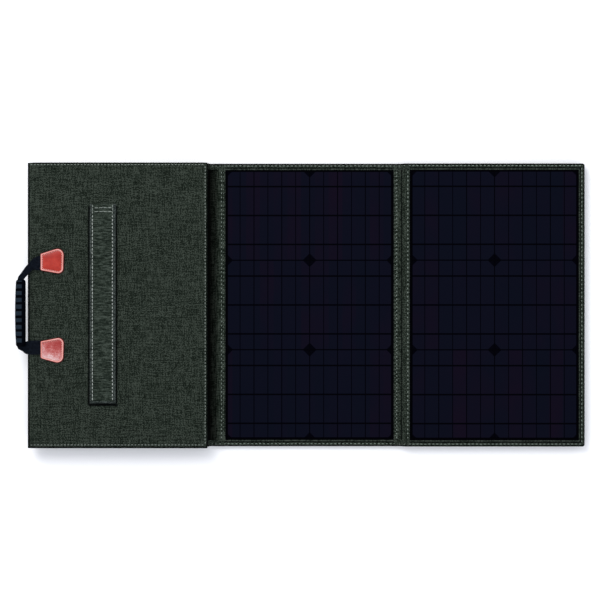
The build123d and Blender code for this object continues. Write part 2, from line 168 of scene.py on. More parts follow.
def strip_material():
    """The same cloth gathered between two seams: short cross folds, with painted shade darkening their valleys."""
    m, nt, b = new_mat("canvas_gathered_fold_shade")
    warp = noise_tex(nt, scaled(nt, (150, 560, 300)), 1.0, 1.0, 0.5)
    folds = noise_tex(nt, scaled(nt, (72, 470, 72)), 1.0, 0.5, 0.5)
    fine = noise_tex(nt, scaled(nt, (560, 620, 560)), 1.0, 1.0, 0.5)
    # painted shade: the fold noise darkens the colour in the fold valleys as well as shaping the bump
    t = math_node(nt, "MULTIPLY", math_node(nt, "SUBTRACT", folds, 0.5), 1.35)
    t = math_node(nt, "ADD", t, math_node(nt, "MULTIPLY", math_node(nt, "SUBTRACT", warp, 0.5), 1.2))
    t = math_node(nt, "ADD", t, math_node(nt, "MULTIPLY", math_node(nt, "SUBTRACT", fine, 0.5), 1.2))
    t = math_node(nt, "ADD", t, 0.5, clamp=True)
    col = ramp(nt, t, [(0.10, (0.0045, 0.0072, 0.0055)), (0.5, (0.0158, 0.0222, 0.0168)), (0.92, (0.0400, 0.0510, 0.0420))])
    nt.links.new(col, b.inputs["Base Color"])
    h = math_node(nt, "ADD", math_node(nt, "MULTIPLY", weave_height(nt, 1.15), 0.2), math_node(nt, "MULTIPLY", folds, 2.0))
    bump(nt, b, h, 0.5, 0.0003)
    set_in(b, Roughness=0.92, Specular_IOR_Level=0.04)
    return m


CANVAS_STRIP = strip_material()


def gutter_material():
    """Cloth of the hinge next to the folded case, with a painted shadow of the raised case: nearly black deep in the
    crease, canvas green where it comes up.
    """
    m, nt, b = new_mat("canvas_crease_painted_shadow")
    warp = noise_tex(nt, scaled(nt, (40, 520, 520)), 1.0, 1.0, 0.4)
    weft = noise_tex(nt, scaled(nt, (520, 40, 520)), 1.0, 1.0, 0.4)
    t = math_node(nt, "MULTIPLY", math_node(nt, "SUBTRACT", math_node(nt, "ADD", warp, weft), 1.0), 2.1)
    t = math_node(nt, "ADD", t, 0.5, clamp=True)
    col = ramp(nt, t, [(0.12, (0.0045, 0.0070, 0.0048)), (0.5, (0.0145, 0.0205, 0.0152)), (0.9, (0.0360, 0.0450, 0.0360))])
    s_ = node(nt, "ShaderNodeSeparateXYZ")
    nt.links.new(scaled(nt, (1000, 1000, 1000)), s_.inputs[0])
    # painted shadow: the colour is multiplied darker towards X = -163 mm, beside the raised case, and is full strength
    # from X = -146 mm
    g = math_node(nt, "DIVIDE", math_node(nt, "ADD", s_.outputs[0], 163.0), 17.0, clamp=True)
    k = ramp(nt, g, [(0.0, (0.03, 0.03, 0.03)), (0.20, (0.20, 0.19, 0.19)), (0.42, (0.52, 0.50, 0.50)), (0.65, (0.55, 0.54, 0.54)), (0.82, (0.78, 0.78, 0.78)), (1.0, (1, 1, 1))])
    mix = node(nt, "ShaderNodeMix")
    mix.data_type = "RGBA"
    mix.blend_type = "MULTIPLY"
    mix.inputs["Factor"].default_value = 1.0
    ins = [i for i in mix.inputs if i.type == "RGBA"]
    nt.links.new(col, ins[0]); nt.links.new(k, ins[1])
    out = [o for o in mix.outputs if o.type == "RGBA"][0]
    nt.links.new(out, b.inputs["Base Color"])
    bump(nt, b, math_node(nt, "ADD", math_node(nt, "MULTIPLY", weave_height(nt, 1.15), 0.25), t), 0.55, 0.00035)
    set_in(b, Roughness=0.92, Specular_IOR_Level=0.03)
    return m


CANVAS_CREASE_SHADOW = gutter_material()


def simple(name, base, var, rough, spec, scale=(300, 300, 300), bump_s=0.3, bump_d=0.0002, **kw):
    m, nt, b = new_mat(name)
    f = noise_tex(nt, scaled(nt, scale), 1.0, 3.0, 0.6)
    lo = tuple(max(0.0, c * (1 - var)) for c in base)
    hi = tuple(c * (1 + var) for c in base)
    col = ramp(nt, f, [(0.3, lo), (0.7, hi)])
    nt.links.new(col, b.inputs["Base Color"])
    rr = math_node(nt, "ADD", math_node(nt, "MULTIPLY", math_node(nt, "SUBTRACT", f, 0.5), 0.18), rough, clamp=True)
    nt.links.new(rr, b.inputs["Roughness"])
    bump(nt, b, f, bump_s, bump_d)
    b.inputs["Specular IOR Level"].default_value = spec
    for k, v in kw.items():
        b.inputs[k.replace("_", " ")].default_value = v
    return m


THREAD = simple("thread_grey", (0.285, 0.310, 0.290), 0.18, 0.75, 0.15, (1500, 1500, 1500), 0.5, 0.0001)
THREAD_COVER = simple("thread_cover", (0.175, 0.200, 0.180), 0.25, 0.75, 0.12, (1500, 1500, 1500), 0.5, 0.0001)
THREAD_DIM = simple("thread_green_grey", (0.150, 0.180, 0.158), 0.30, 0.8, 0.1, (1500, 1500, 1500), 0.5, 0.0001)
THREAD_PINK = simple("thread_pink", (0.70, 0.36, 0.33), 0.12, 0.6, 0.2, (1500, 1500, 1500), 0.4, 0.0001)
BOARD = simple("board_grey", (0.05, 0.05, 0.048), 0.2, 0.7, 0.2)
BACKSHEET = simple("backsheet_black", (0.0003, 0.0003, 0.0018), 0.3, 0.30, 0.012, (900, 900, 900), 0.15, 0.0001)
MARGIN = simple("laminate_margin", (0.0001, 0.0001, 0.0007), 0.3, 0.30, 0.010, (900, 900, 900), 0.15, 0.0001)
CONTACT = simple("contact_ribbon", (0.0001, 0.0001, 0.0010), 0.3, 0.32, 0.012, (700, 700, 700), 0.1, 0.0001)
RUBBER_RIB = simple("grip_rib", (0.0062, 0.0125, 0.0205), 0.45, 0.55, 0.07, (420, 420, 420), 0.45, 0.0003)
# near-black copy of the grip rubber: painted shade in the grooves between the ribs and on the smooth side, also used
# for the grip's ends
RUBBER_AND_GROOVE_SHADE = simple("grip_rubber", (0.0001, 0.0004, 0.0014), 0.3, 0.5, 0.015, (420, 420, 420), 0.35, 0.0002)
PAD = simple("hook_loop", (0.010, 0.010, 0.010), 0.4, 0.95, 0.05, (2200, 2200, 2200), 0.9, 0.0006)
ZIP_PLASTIC = simple("zip_coil_black", (0.010, 0.010, 0.010), 0.2, 0.45, 0.25)
ZIP_METAL = simple("zip_slider_black", (0.05, 0.05, 0.052), 0.25, 0.35, 0.5, (500, 500, 500), 0.1, 0.0001, Metallic=0.6)
BOX_PLASTIC = simple("box_plastic", (0.018, 0.018, 0.019), 0.15, 0.55, 0.25, (1200, 1200, 1200), 0.4, 0.0001)
STEEL = simple("screw_steel", (0.45, 0.45, 0.46), 0.12, 0.35, 0.5, (150, 2000, 150), 0.15, 0.0001, Metallic=1.0)
CIRCUIT = simple("circuit_green", (0.010, 0.08, 0.028), 0.3, 0.4, 0.4, (220, 220, 220), 0.1, 0.0001)


def cell_material():
    """Dark silicon, each narrow column a shade of its own, under a faintly pebbled film."""
    m, nt, b = new_mat("cell_silicon")
    v = scaled(nt, (1000 / 24.35, 1000 / 158.4, 1))
    s = node(nt, "ShaderNodeSeparateXYZ")
    nt.links.new(v, s.inputs[0])
    colx = math_node(nt, "FLOOR", s.outputs[0])
    coly = math_node(nt, "FLOOR", math_node(nt, "ADD", s.outputs[1], 0.5))
    comb = node(nt, "ShaderNodeCombineXYZ")
    nt.links.new(colx, comb.inputs[0]); nt.links.new(coly, comb.inputs[1])
    wn = node(nt, "ShaderNodeTexWhiteNoise")
    nt.links.new(comb.outputs[0], wn.inputs["Vector"])
    cloud = noise_tex(nt, scaled(nt, (18, 12, 18)), 1.0, 2.0, 0.5)
    t = math_node(nt, "ADD", math_node(nt, "MULTIPLY", wn.outputs["Value"], 0.45), math_node(nt, "MULTIPLY", cloud, 0.6), clamp=True)
    col = ramp(nt, t, [(0.15, (0.0015, 0.0024, 0.0066)), (0.5, (0.0020, 0.0023, 0.0070)), (0.85, (0.0040, 0.0020, 0.0070))])
    # fine contact fingers printed across the cell
    fy = math_node(nt, "SINE", math_node(nt, "MULTIPLY", s.outputs[1], 2 * math.pi * 158.4 / 1.6))
    nt.links.new(col, b.inputs["Base Color"])
    peb = noise_tex(nt, scaled(nt, (800, 800, 800)), 1.0, 1.0, 0.5)
    h = math_node(nt, "ADD", peb, math_node(nt, "MULTIPLY", fy, 0.12))
    bump(nt, b, h, 0.12, 0.0001)
    set_in(b, Roughness=0.34, Specular_IOR_Level=0.014, Coat_Weight=0.015, Coat_Roughness=0.2)
    return m


CELL = cell_material()


def webbing_material():
    """Woven strap: fine ribs along its length, from the piece's own UV (u along, v across)."""
    m, nt, b = new_mat("webbing_navy")
    tc = node(nt, "ShaderNodeTexCoord")
    s = node(nt, "ShaderNodeSeparateXYZ")
    nt.links.new(tc.outputs["UV"], s.inputs[0])
    u = math_node(nt, "MULTIPLY", s.outputs[0], 2 * math.pi / 0.0022)
    v = math_node(nt, "MULTIPLY", s.outputs[1], 2 * math.pi / 0.0016)
    su = math_node(nt, "SINE", math_node(nt, "ADD", u, math_node(nt, "MULTIPLY", v, 0.5)))
    sv = math_node(nt, "SINE", v)
    w = math_node(nt, "MULTIPLY", su, sv)
    f = noise_tex(nt, scaled(nt, (260, 260, 260)), 1.0, 2.0, 0.6)
    t = math_node(nt, "ADD", math_node(nt, "MULTIPLY", w, 0.22), f, clamp=True)
    col = ramp(nt, t, [(0.2, (0.0008, 0.0014, 0.0030)), (0.55, (0.0026, 0.0042, 0.0078)), (0.9, (0.0080, 0.0105, 0.0160))])
    nt.links.new(col, b.inputs["Base Color"])
    bump(nt, b, w, 0.6, 0.0004)
    set_in(b, Roughness=0.8, Specular_IOR_Level=0.04)
    return m


WEBBING = webbing_material()


def leather(name, c0, c1, c2, rough, coat):
    m, nt, b = new_mat(name)
    f = noise_tex(nt, scaled(nt, (170, 170, 170)), 1.0, 3.0, 0.6)
    g = noise_tex(nt, scaled(nt, (40, 40, 40)), 1.0, 2.0, 0.5)
    t = math_node(nt, "ADD", math_node(nt, "MULTIPLY", f, 0.45), math_node(nt, "MULTIPLY", g, 0.55))
    col = ramp(nt, t, [(0.32, c0), (0.5, c1), (0.68, c2)])
    nt.links.new(col, b.inputs["Base Color"])
    vor = node(nt, "ShaderNodeTexVoronoi")
    vor.feature = "DISTANCE_TO_EDGE"
    vor.inputs["Scale"].default_value = 1.0
    nt.links.new(scaled(nt, (1100, 1100, 1100)), vor.inputs["Vector"])
    grain = math_node(nt, "MULTIPLY", vor.outputs["Distance"], 3.0, clamp=True)
    bump(nt, b, math_node(nt, "ADD", grain, f), 0.28, 0.00025)
    set_in(b, Roughness=rough, Specular_IOR_Level=0.25, Coat_Weight=coat, Coat_Roughness=0.22)
    return m


LEATHER = leather("leather_red", (0.190, 0.006, 0.003), (0.285, 0.013, 0.006), (0.370, 0.026, 0.013), 0.40, 0.06)
# dark red of the tab's cut edge, also spread past the edge onto the cover as a painted shadow outline
LEATHER_DARK_EDGE_AND_SHADOW = leather("leather_dark_edge_and_painted_shadow", (0.050, 0.002, 0.002), (0.085, 0.004, 0.004), (0.120, 0.008, 0.007), 0.45, 0.05)
LEATHER_RIM = leather("leather_rim_pale", (0.50, 0.150, 0.125), (0.60, 0.230, 0.200), (0.66, 0.330, 0.300), 0.42, 0.10)


def painted_glare_leather():
    """The second tab: painted glare, the red going pale pink towards its lower left corner, in small flecks."""
    m, nt, b = new_mat("leather_painted_glare")
    sp = node(nt, "ShaderNodeSeparateXYZ")
    nt.links.new(scaled(nt, (1000, 1000, 1000)), sp.inputs[0])
    # gx and gy rise towards the lower left corner, where the painted glare is palest
    gx = math_node(nt, "DIVIDE", math_node(nt, "ADD", sp.outputs[0], 437.0), -34.0)
    gy = math_node(nt, "DIVIDE", math_node(nt, "ADD", sp.outputs[1], 79.0), -30.0)
    fleck = noise_tex(nt, scaled(nt, (820, 820, 820)), 1.0, 2.5, 0.7)
    cloud = noise_tex(nt, scaled(nt, (120, 120, 120)), 1.0, 2.0, 0.5)
    t = math_node(nt, "ADD", math_node(nt, "MULTIPLY", gx, 0.5), math_node(nt, "MULTIPLY", gy, 0.85))
    t = math_node(nt, "ADD", t, math_node(nt, "MULTIPLY", math_node(nt, "SUBTRACT", fleck, 0.5), 2.0))
    t = math_node(nt, "ADD", t, math_node(nt, "MULTIPLY", math_node(nt, "SUBTRACT", cloud, 0.5), 0.9))
    t = math_node(nt, "ADD", t, 0.42, clamp=True)
    col = ramp(nt, t, [(0.05, (0.240, 0.016, 0.014)), (0.40, (0.330, 0.060, 0.055)), (0.70, (0.450, 0.180, 0.175)), (1.0, (0.58, 0.42, 0.42))])
    nt.links.new(col, b.inputs["Base Color"])
    bump(nt, b, fleck, 0.3, 0.0003)
    set_in(b, Roughness=0.36, Specular_IOR_Level=0.3, Coat_Weight=0.12, Coat_Roughness=0.25)
    return m


LEATHER_GLARE = painted_glare_leather()


# ------------------------------------------------------------------ mesh helpers
def add_mesh(name, verts, faces, mats, smooth=True, face_mats=None, uvs=None):
    me = bpy.data.meshes.new(name)
    v = np.asarray(verts, float) * MM
    me.from_pydata([tuple(p) for p in v], [], [tuple(f) for f in faces])
    for m in (mats if isinstance(mats, (list, tuple)) else [mats]):
        me.materials.append(m)
    if face_mats is not None:
        me.polygons.foreach_set("material_index", face_mats)
    if smooth:
        me.polygons.foreach_set("use_smooth", [True] * len(me.polygons))
    if uvs is not None:
        layer = me.uv_layers.new(name="UVMap")
        li = np.zeros(len(me.loops), int)
        me.loops.foreach_get("vertex_index", li)
        layer.data.foreach_set("uv", (np.asarray(uvs, float)[li]).ravel())
    me.update()
    bm = bmesh.new()
    bm.from_mesh(me)
    bmesh.ops.recalc_face_normals(bm, faces=bm.faces)
    bm.to_mesh(me)
    bm.free()
    o = bpy.data.objects.new(name, me)
    SC.collection.objects.link(o)
    return o


def rr(x0, x1, y0, y1, r, nx=40, ny=64, nc=6):
    """Points of a rounded rectangle, the same count and order for every size."""
    r = max(r, 0.05)
    pts = []
    def side(a, b, n):
        for i in range(n):
            t = i / n
            pts.append((a[0] + (b[0] - a[0]) * t, a[1] + (b[1] - a[1]) * t))
    def corner(cx, cy, a0):
        for i in range(nc):
            a = math.radians(a0 + 90 * i / nc)
            pts.append((cx + r * math.cos(a), cy + r * math.sin(a)))
    side((x0 + r, y0), (x1 - r, y0), nx); corner(x1 - r, y0 + r, -90)
    side((x1, y0 + r), (x1, y1 - r), ny); corner(x1 - r, y1 - r, 0)
    side((x1 - r, y1), (x0 + r, y1), nx); corner(x0 + r, y1 - r, 90)
    side((x0, y1 - r), (x0, y0 + r), ny); corner(x0 + r, y0 + r, 180)
    return pts


def ring_solid(name, rings, mats, face_mat_rows=None, cap_start=True, cap_end=True, closed_profile=False, smooth=True):
    """A solid from rings of equal length, each a list of (x, y, z)."""
    n = len(rings[0])
    verts = [p for ring in rings for p in ring]
    faces, fm = [], []
    last = len(rings) if closed_profile else len(rings) - 1
    for k in range(last):
        a, b = k * n, ((k + 1) % len(rings)) * n
        for i in range(n):
            j = (i + 1) % n
            faces.append((a + i, a + j, b + j, b + i))
            fm.append(face_mat_rows[k] if face_mat_rows else 0)
    if not closed_profile:
        if cap_start:
            faces.append(tuple(reversed(range(n)))); fm.append(face_mat_rows[0] if face_mat_rows else 0)
        if cap_end:
            faces.append(tuple(range((len(rings) - 1) * n, len(rings) * n))); fm.append(face_mat_rows[-1] if face_mat_rows else 0)
    return add_mesh(name, verts, faces, mats, smooth, fm)


def grid_solid(name, xs, ys, top, bottom, mats, mat_of=None):
    """A closed slab over the grid xs by ys; top and bottom give z at (x, y)."""
    nx, ny = len(xs), len(ys)
    verts = [(x, y, top(x, y)) for x in xs for y in ys] + [(x, y, bottom(x, y)) for x in xs for y in ys]
    off = nx * ny
    faces, fm = [], []
    for i in range(nx - 1):
        for j in range(ny - 1):
            a, b, c, d = i * ny + j, (i + 1) * ny + j, (i + 1) * ny + j + 1, i * ny + j + 1
            faces.append((a, b, c, d)); fm.append(mat_of((xs[i] + xs[i + 1]) / 2, (ys[j] + ys[j + 1]) / 2) if mat_of else 0)
            faces.append((off + a, off + d, off + c, off + b)); fm.append(0)
    for i in range(nx - 1):
        for j in (0, ny - 1):
            a, b = i * ny + j, (i + 1) * ny + j
            faces.append((a, b, off + b, off + a)); fm.append(0)
    for j in range(ny - 1):
        for i in (0, nx - 1):
            a, b = i * ny + j, i * ny + j + 1
            faces.append((a, b, off + b, off + a)); fm.append(0)
    return add_mesh(name, verts, faces, mats, True, fm)


def strip_solid(name, top_profile, thick, ys, mats, end_drop=0.0, mat_of=None):
    """A sheet that follows an XZ profile and runs along Y; thick is how far its underside lies along the inward normal."""
    P = np.array(top_profile, float)
    T = np.gradient(P, axis=0)
    T /= np.linalg.norm(T, axis=1)[:, None]
    N = np.stack([-T[:, 1], T[:, 0]], 1)      # left of the direction of travel
    Q = P + N * thick
    n, m = len(P), len(ys)
    verts = [(P[i, 0], y, P[i, 1]) for i in range(n) for y in ys] + [(Q[i, 0], y, Q[i, 1]) for i in range(n) for y in ys]
    off = n * m
    faces, fm = [], []
    for i in range(n - 1):
        for j in range(m - 1):
            a, b, c, d = i * m + j, (i + 1) * m + j, (i + 1) * m + j + 1, i * m + j + 1
            faces.append((a, b, c, d)); fm.append(mat_of(i, j) if mat_of else 0)
            faces.append((off + a, off + d, off + c, off + b)); fm.append(0)
    for i in range(n - 1):
        for j in (0, m - 1):
            a, b = i * m + j, (i + 1) * m + j
            faces.append((a, b, off + b, off + a)); fm.append(0)
    for j in range(m - 1):
        for i in (0, n - 1):
            a, b = i * m + j, i * m + j + 1
            faces.append((a, b, off + b, off + a)); fm.append(0)
    return add_mesh(name, verts, faces, mats, True, fm)


def smooth_curve(pts, per=6):
    """Catmull-Rom through points of any dimension."""
    P = np.array(pts, float)
    P = np.vstack([2 * P[0] - P[1], P, 2 * P[-1] - P[-2]])
    out = []
    for i in range(1, len(P) - 2):
        for k in range(per):
            t = k / per
            a, b, c, d = P[i - 1], P[i], P[i + 1], P[i + 2]
            out.append(0.5 * (2 * b + (c - a) * t + (2 * a - 5 * b + 4 * c - d) * t * t + (3 * b - a - 3 * c + d) * t ** 3))
    out.append(P[-2])
    return np.array(out)


def stitch_mesh(name, items, mat, body=None, blend=None):
    """items: (x, y, z, direction angle in degrees, length, width, height, up sign)."""
    seg = 7
    ts = [-0.82, -0.45, 0.0, 0.45, 0.82]
    verts, faces = [], []
    for (x, y, z, ang, L, w, h, up) in items:
        base = len(verts)
        ca, sa = math.cos(math.radians(ang)), math.sin(math.radians(ang))
        def put(u, v, k):
            verts.append((x + u * ca - v * sa, y + u * sa + v * ca, z + up * k))
        put(-L / 2, 0, -h * 0.75)
        for t in ts:
            f = math.sqrt(max(0.0, 1 - t * t)) ** 0.6
            lift = -h * 0.75 * t * t
            for s in range(seg):
                a = 2 * math.pi * s / seg
                put(t * L / 2, math.cos(a) * w / 2 * f, math.sin(a) * h / 2 * f + lift)
        put(L / 2, 0, -h * 0.75)
        end = len(verts) - 1
        for s in range(seg):
            faces.append((base, base + 1 + (s + 1) % seg, base + 1 + s))
        for r in range(len(ts) - 1):
            for s in range(seg):
                a = base + 1 + r * seg
                faces.append((a + s, a + (s + 1) % seg, a + seg + (s + 1) % seg, a + seg + s))
        a = base + 1 + (len(ts) - 1) * seg
        for s in range(seg):
            faces.append((a + s, a + (s + 1) % seg, end))
    o = add_mesh(name, verts, faces, mat)
    if blend:
        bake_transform(o)
    else:
        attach(o, body)
    return o


def row(p0, p1, z, pitch, L, w=1.0, h=0.55, up=1, wander=0.12):
    """Stitches evenly spaced along a straight seam."""
    dx, dy = p1[0] - p0[0], p1[1] - p0[1]
    d = math.hypot(dx, dy)
    n = max(1, int(d / pitch))
    out = []
    ang = math.degrees(math.atan2(dy, dx))
    zf = z if callable(z) else (lambda x, y: z)
    for i in range(n):
        t = (i + 0.5) / n
        x = p0[0] + dx * t + rng.normal(0, wander) * (dy / d)
        y = p0[1] + dy * t + rng.normal(0, wander) * (dx / d)
        out.append((x, y, zf(x, y), ang + rng.normal(0, 2.5), L * (1 + rng.normal(0, 0.05)), w * (1 + rng.normal(0, 0.06)), h, up))
    return out


def wob(x, y, sx, sy, seed=0.0):
    return noise.noise(Vector((x / sx, y / sy, seed)))


def axis_list(lo, hi, step, extra=()):
    n = max(2, int((hi - lo) / step))
    vals = {round(lo + (hi - lo) * i / n, 3) for i in range(n + 1)}
    vals |= {round(e, 3) for e in extra if lo <= e <= hi}
    out = sorted(vals)
    keep = [out[0]]
    for v in out[1:-1]:
        if v - keep[-1] > 0.25:
            keep.append(v)
    keep.append(out[-1])
    return keep


# ------------------------------------------------------------------ camera, stage and light come first
cam_data = bpy.data.cameras.new("camera")
cam_data.lens = 87.84
cam_data.sensor_width = 36
cam_data.clip_end = 50
cam = bpy.data.objects.new("camera", cam_data)
cam.location = (-0.0020, 0.0088, 2.600)
cam.rotation_euler = (0, 0, 0)
SC.collection.objects.link(cam)
SC.camera = cam
SC.view_settings.view_transform = "Standard"
SC.view_settings.look = "None"
SC.view_settings.exposure = 0
SC.view_settings.gamma = 1

fm, fnt, fb = new_mat("floor_pale")
ff = noise_tex(fnt, scaled(fnt, (3, 3, 3)), 1.0, 2.0, 0.5)
fcol = ramp(fnt, ff, [(0.3, (0.86, 0.865, 0.885)), (0.7, (0.88, 0.885, 0.90))])
fnt.links.new(fcol, fb.inputs["Base Color"])
set_in(fb, Roughness=0.9, Specular_IOR_Level=0.1)
bpy.ops.mesh.primitive_grid_add(x_subdivisions=8, y_subdivisions=8, size=14, location=(0, 0, -0.0004))
floor = C.object
floor.name = "floor"
floor.data.materials.append(fm)

world = bpy.data.worlds.new("studio")
SC.world = world
world.use_nodes = True
bg = world.node_tree.nodes["Background"]
bg.inputs["Color"].default_value = (0.93, 0.95, 1.0, 1)
bg.inputs["Strength"].default_value = 1.02


def area(name, loc, target, size, energy, color=(1, 1, 1)):
    d = bpy.data.lights.new(name, "AREA")
    d.shape = "RECTANGLE"
    d.size, d.size_y = size
    d.energy = energy
    d.color = color
    o = bpy.data.objects.new(name, d)
    o.location = loc
    o.rotation_euler = (Vector(target) - Vector(loc)).to_track_quat("-Z", "Y").to_euler()
    SC.collection.objects.link(o)
    return o


area("key", (-1.35, 1.95, 2.3), (0, 0, 0), (2.0, 2.0), 76, (1.0, 0.985, 0.96))
area("fill", (2.0, -1.8, 1.6), (0, 0, 0), (2.2, 2.2), 10, (0.93, 0.95, 1.0))

# ------------------------------------------------------------------ the four leaves
LEAVES = {
    4: (184.2, 500.8, 193.2, 490.2, 6.5, 1),
    3: (-142.4, 172.6, -133.4, 163.6, 0.0, 1),
    2: (-472.0, -165.0, -467.0, -170.0, 16.0, 1),
    1: (-472.0, -164.3, -467.0, -170.0, 32.5, -1),
}
HY, WY = 250.0, 239.0
WINDOW = {4: (191.8, 490.5), 3: (-134.3, 164.0), 2: (-467.0, -170.0), 1: (-467.0, -170.0)}
CELL_PITCH_X, CELL_PITCH_Y, CELL_W, CELL_H, CUT = 148.0, 158.4, 147.0, 157.4, 0.6
STRIP = (CELL_W - 2 * CUT) / 3


def boxes_mesh(name, boxes, mat, bevel=0.0):
    verts, faces = [], []
    for (x0, x1, y0, y1, z0, z1) in boxes:
        b = len(verts)
        i = bevel
        verts += [(x0, y0, z0), (x1, y0, z0), (x1, y1, z0), (x0, y1, z0),
                  (x0 + i, y0 + i, z1), (x1 - i, y0 + i, z1), (x1 - i, y1 - i, z1), (x0 + i, y1 - i, z1)]
        faces += [(b, b + 3, b + 2, b + 1), (b + 4, b + 5, b + 6, b + 7), (b, b + 1, b + 5, b + 4),
                  (b + 1, b + 2, b + 6, b + 5), (b + 2, b + 3, b + 7, b + 6), (b + 3, b, b + 4, b + 7)]
    return add_mesh(name, verts, faces, mat, smooth=False)


def canvas_bag(n):
    """The canvas of a leaf: back, edge and a framed window, one closed skin round the board."""
    x0, x1, wx0, wx1, bz, face = LEAVES[n]
    wx0, wx1 = WINDOW[n]
    back = 0.9 if n in (1, 2) else 0.0          # leaves 1 and 2 carry the long cover outside this
    prof = [(14, back), (4, back), (0.9, back), (0.25, back + 0.25), (0.02, back + 0.9), (0.0, 3.0), (0.0, 5.5),
            (0.05, 6.9), (0.35, 7.5), (1.1, 7.85), (2.6, 7.92), (3.6, 7.80), (4.2, 7.72), (4.8, 7.80), (5.0, 7.9)]
    rings = []
    for d, z in prof:
        pts = rr(x0 + d, x1 - d, -HY + d, HY - d, 4.0 - d if d < 3.5 else 0.5)
        out = []
        for i, (x, y) in enumerate(pts):
            zz = bz + face * z
            if 3.5 < d < 4.5:
                zz -= face * 0.10 * (0.5 + 0.5 * math.sin((x + y) * 2 * math.pi / 7.2))
            out.append((x, y, zz))
        rings.append(out)
    inner = rr(wx0, wx1, -WY, WY, 0.8)
    lastr = rr(x0 + 5.0, x1 - 5.0, -HY + 5.0, HY - 5.0, 0.5)
    for t, z in ((0.16, 7.93), (0.26, 7.35), (0.36, 7.35), (0.46, 7.93), (0.86, 7.95)):
        rings.append([(a[0] + (b[0] - a[0]) * t, a[1] + (b[1] - a[1]) * t, bz + face * z) for a, b in zip(lastr, inner)])
    rings.append([(p[0], p[1], bz + face * 7.72) for p in inner])
    rings.append([(p[0], p[1], bz + face * 7.25) for p in inner])
    rings.append([(p[0], p[1], bz + face * 7.15) for p in rr(x0 + 1.0, x1 - 1.0, -HY + 1.0, HY - 1.0, 3.0)])
    rings.append([(p[0], p[1], bz + face * (back + 0.8)) for p in rr(x0 + 1.0, x1 - 1.0, -HY + 1.0, HY - 1.0, 3.0)])
    rings.append([(p[0], p[1], bz + face * (back + 0.8)) for p in rr(x0 + 14, x1 - 14, -HY + 14, HY - 14, 0.5)])
    rows = [0] * (len(rings) - 1)
    for k in (16, 17, 18):
        rows[k] = 1
    o = ring_solid(f"leaf{n}_canvas", rings, [CANVAS, BINDING_AND_EDGE_SHADE], rows)
    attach(o, f"leaf_{n}")
    names = [f"leaf{n}_border"] + ([f"leaf{n}_back_cover"] if n in (3, 4) else [])
    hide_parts(*names)
    # hem: the border cloth turned under along the window, a little paler where it catches the light
    hem = []
    for d, z in ((0.0, 7.3), (0.0, 7.85), (0.3, 8.0), (1.2, 8.03), (2.2, 8.0), (2.5, 7.7), (2.5, 7.3)):
        hem.append([(p[0], p[1], bz + face * z) for p in rr(wx0 - d, wx1 + d, -WY - d, WY + d, 0.8 + max(d, 0))])
    h = ring_solid(f"leaf{n}_hem", hem, CANVAS_HEM, closed_profile=True)
    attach(h, f"leaf_{n}")
    return o


def contacts(n):
    x0, x1, wx0, wx1, bz, face = LEAVES[n]
    wcx = (wx0 + wx1) / 2
    v0, v1 = WINDOW[n]
    ring = []
    for (a, b, c, d, z) in ((v0 - 1, v1 + 1, -WY - 1, WY + 1, 7.30), (v0 - 1, v1 + 1, -WY - 1, WY + 1, 7.44),
                            (wx0 + 3.6, wx1 - 4.2, -WY + 4.6, WY - 3.4, 7.44), (wx0 + 3.7, wx1 - 4.3, -WY + 4.7, WY - 3.5, 7.30)):
        ring.append([(p[0], p[1], bz + face * z) for p in rr(a, b, c, d, 0.6, 8, 8, 2)])
    f = ring_solid(f"leaf{n}_margin", ring, MARGIN, closed_profile=True, smooth=False)
    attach(f, f"leaf_{n}")
    lo, hi = (7.28, 7.37)
    boxes = []
    def zz(a, b):
        p, q = bz + face * a, bz + face * b
        return (p, q)
    z0, z1 = zz(lo, hi)
    for j in (-1, 0, 1):
        for dy in (-51.2, 0, 51.2):
            y = j * CELL_PITCH_Y + dy
            boxes.append((wcx - 147.0, wcx + 147.0, y - 1.45, y + 1.45, z0, z1))
        for i in (-0.5, 0.5):
            lx = wcx + i * CELL_PITCH_X - CELL_W / 2
            for k in range(3):
                mx = lx + k * (STRIP + CUT) + STRIP / 2
                zc0, zc1 = zz(lo, hi - 0.03)
                boxes.append((mx - 0.70, mx + 0.70, j * CELL_PITCH_Y - CELL_H / 2 + 0.4, j * CELL_PITCH_Y + CELL_H / 2 - 0.4, zc0, zc1))
            for k in (1, 2):
                gx = lx + k * STRIP + (k - 0.5) * CUT
                boxes.append((gx - 0.85, gx + 0.85, j * CELL_PITCH_Y - CELL_H / 2 + 0.2, j * CELL_PITCH_Y + CELL_H / 2 - 0.2, zc0, zc1))
        if j < 1:
            y = (j + 0.5) * CELL_PITCH_Y
            boxes.append((wcx - 147.0, wcx + 147.0, y - 1.1, y + 1.1, z0, z1))
    boxes.append((wcx - 0.9, wcx + 0.9, -1.5 * CELL_PITCH_Y, 1.5 * CELL_PITCH_Y, *zz(lo, hi - 0.03)))
    o = boxes_mesh(f"leaf{n}_contacts", boxes, CONTACT, 0.1)
    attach(o, f"leaf_{n}")
    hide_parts(f"leaf{n}_ribbons", f"leaf{n}_film")
    # tabs that join one cell to the next, at the top and bottom of each column
    boxes = []
    for i in (-0.5, 0.5):
        cx = wcx + i * CELL_PITCH_X
        for s in (-1, 1):
            y = s * (1.5 * CELL_PITCH_Y + 0.5)
            a, b = zz(7.0, 7.12)
            boxes.append((cx - 60, cx + 60, min(y, y - s * 1.2) , max(y, y - s * 1.2), a, b))
    q = boxes_mesh(f"leaf{n}_bus", boxes, CONTACT, 0.1)
    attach(q, f"leaf_{n}")


for n in (4, 3, 2, 1):
    canvas_bag(n)
    contacts(n)

# ------------------------------------------------------------------ the long cover of leaves 1 and 2, one sheet round the fold
X12A, X12B = -164.6, -165.4


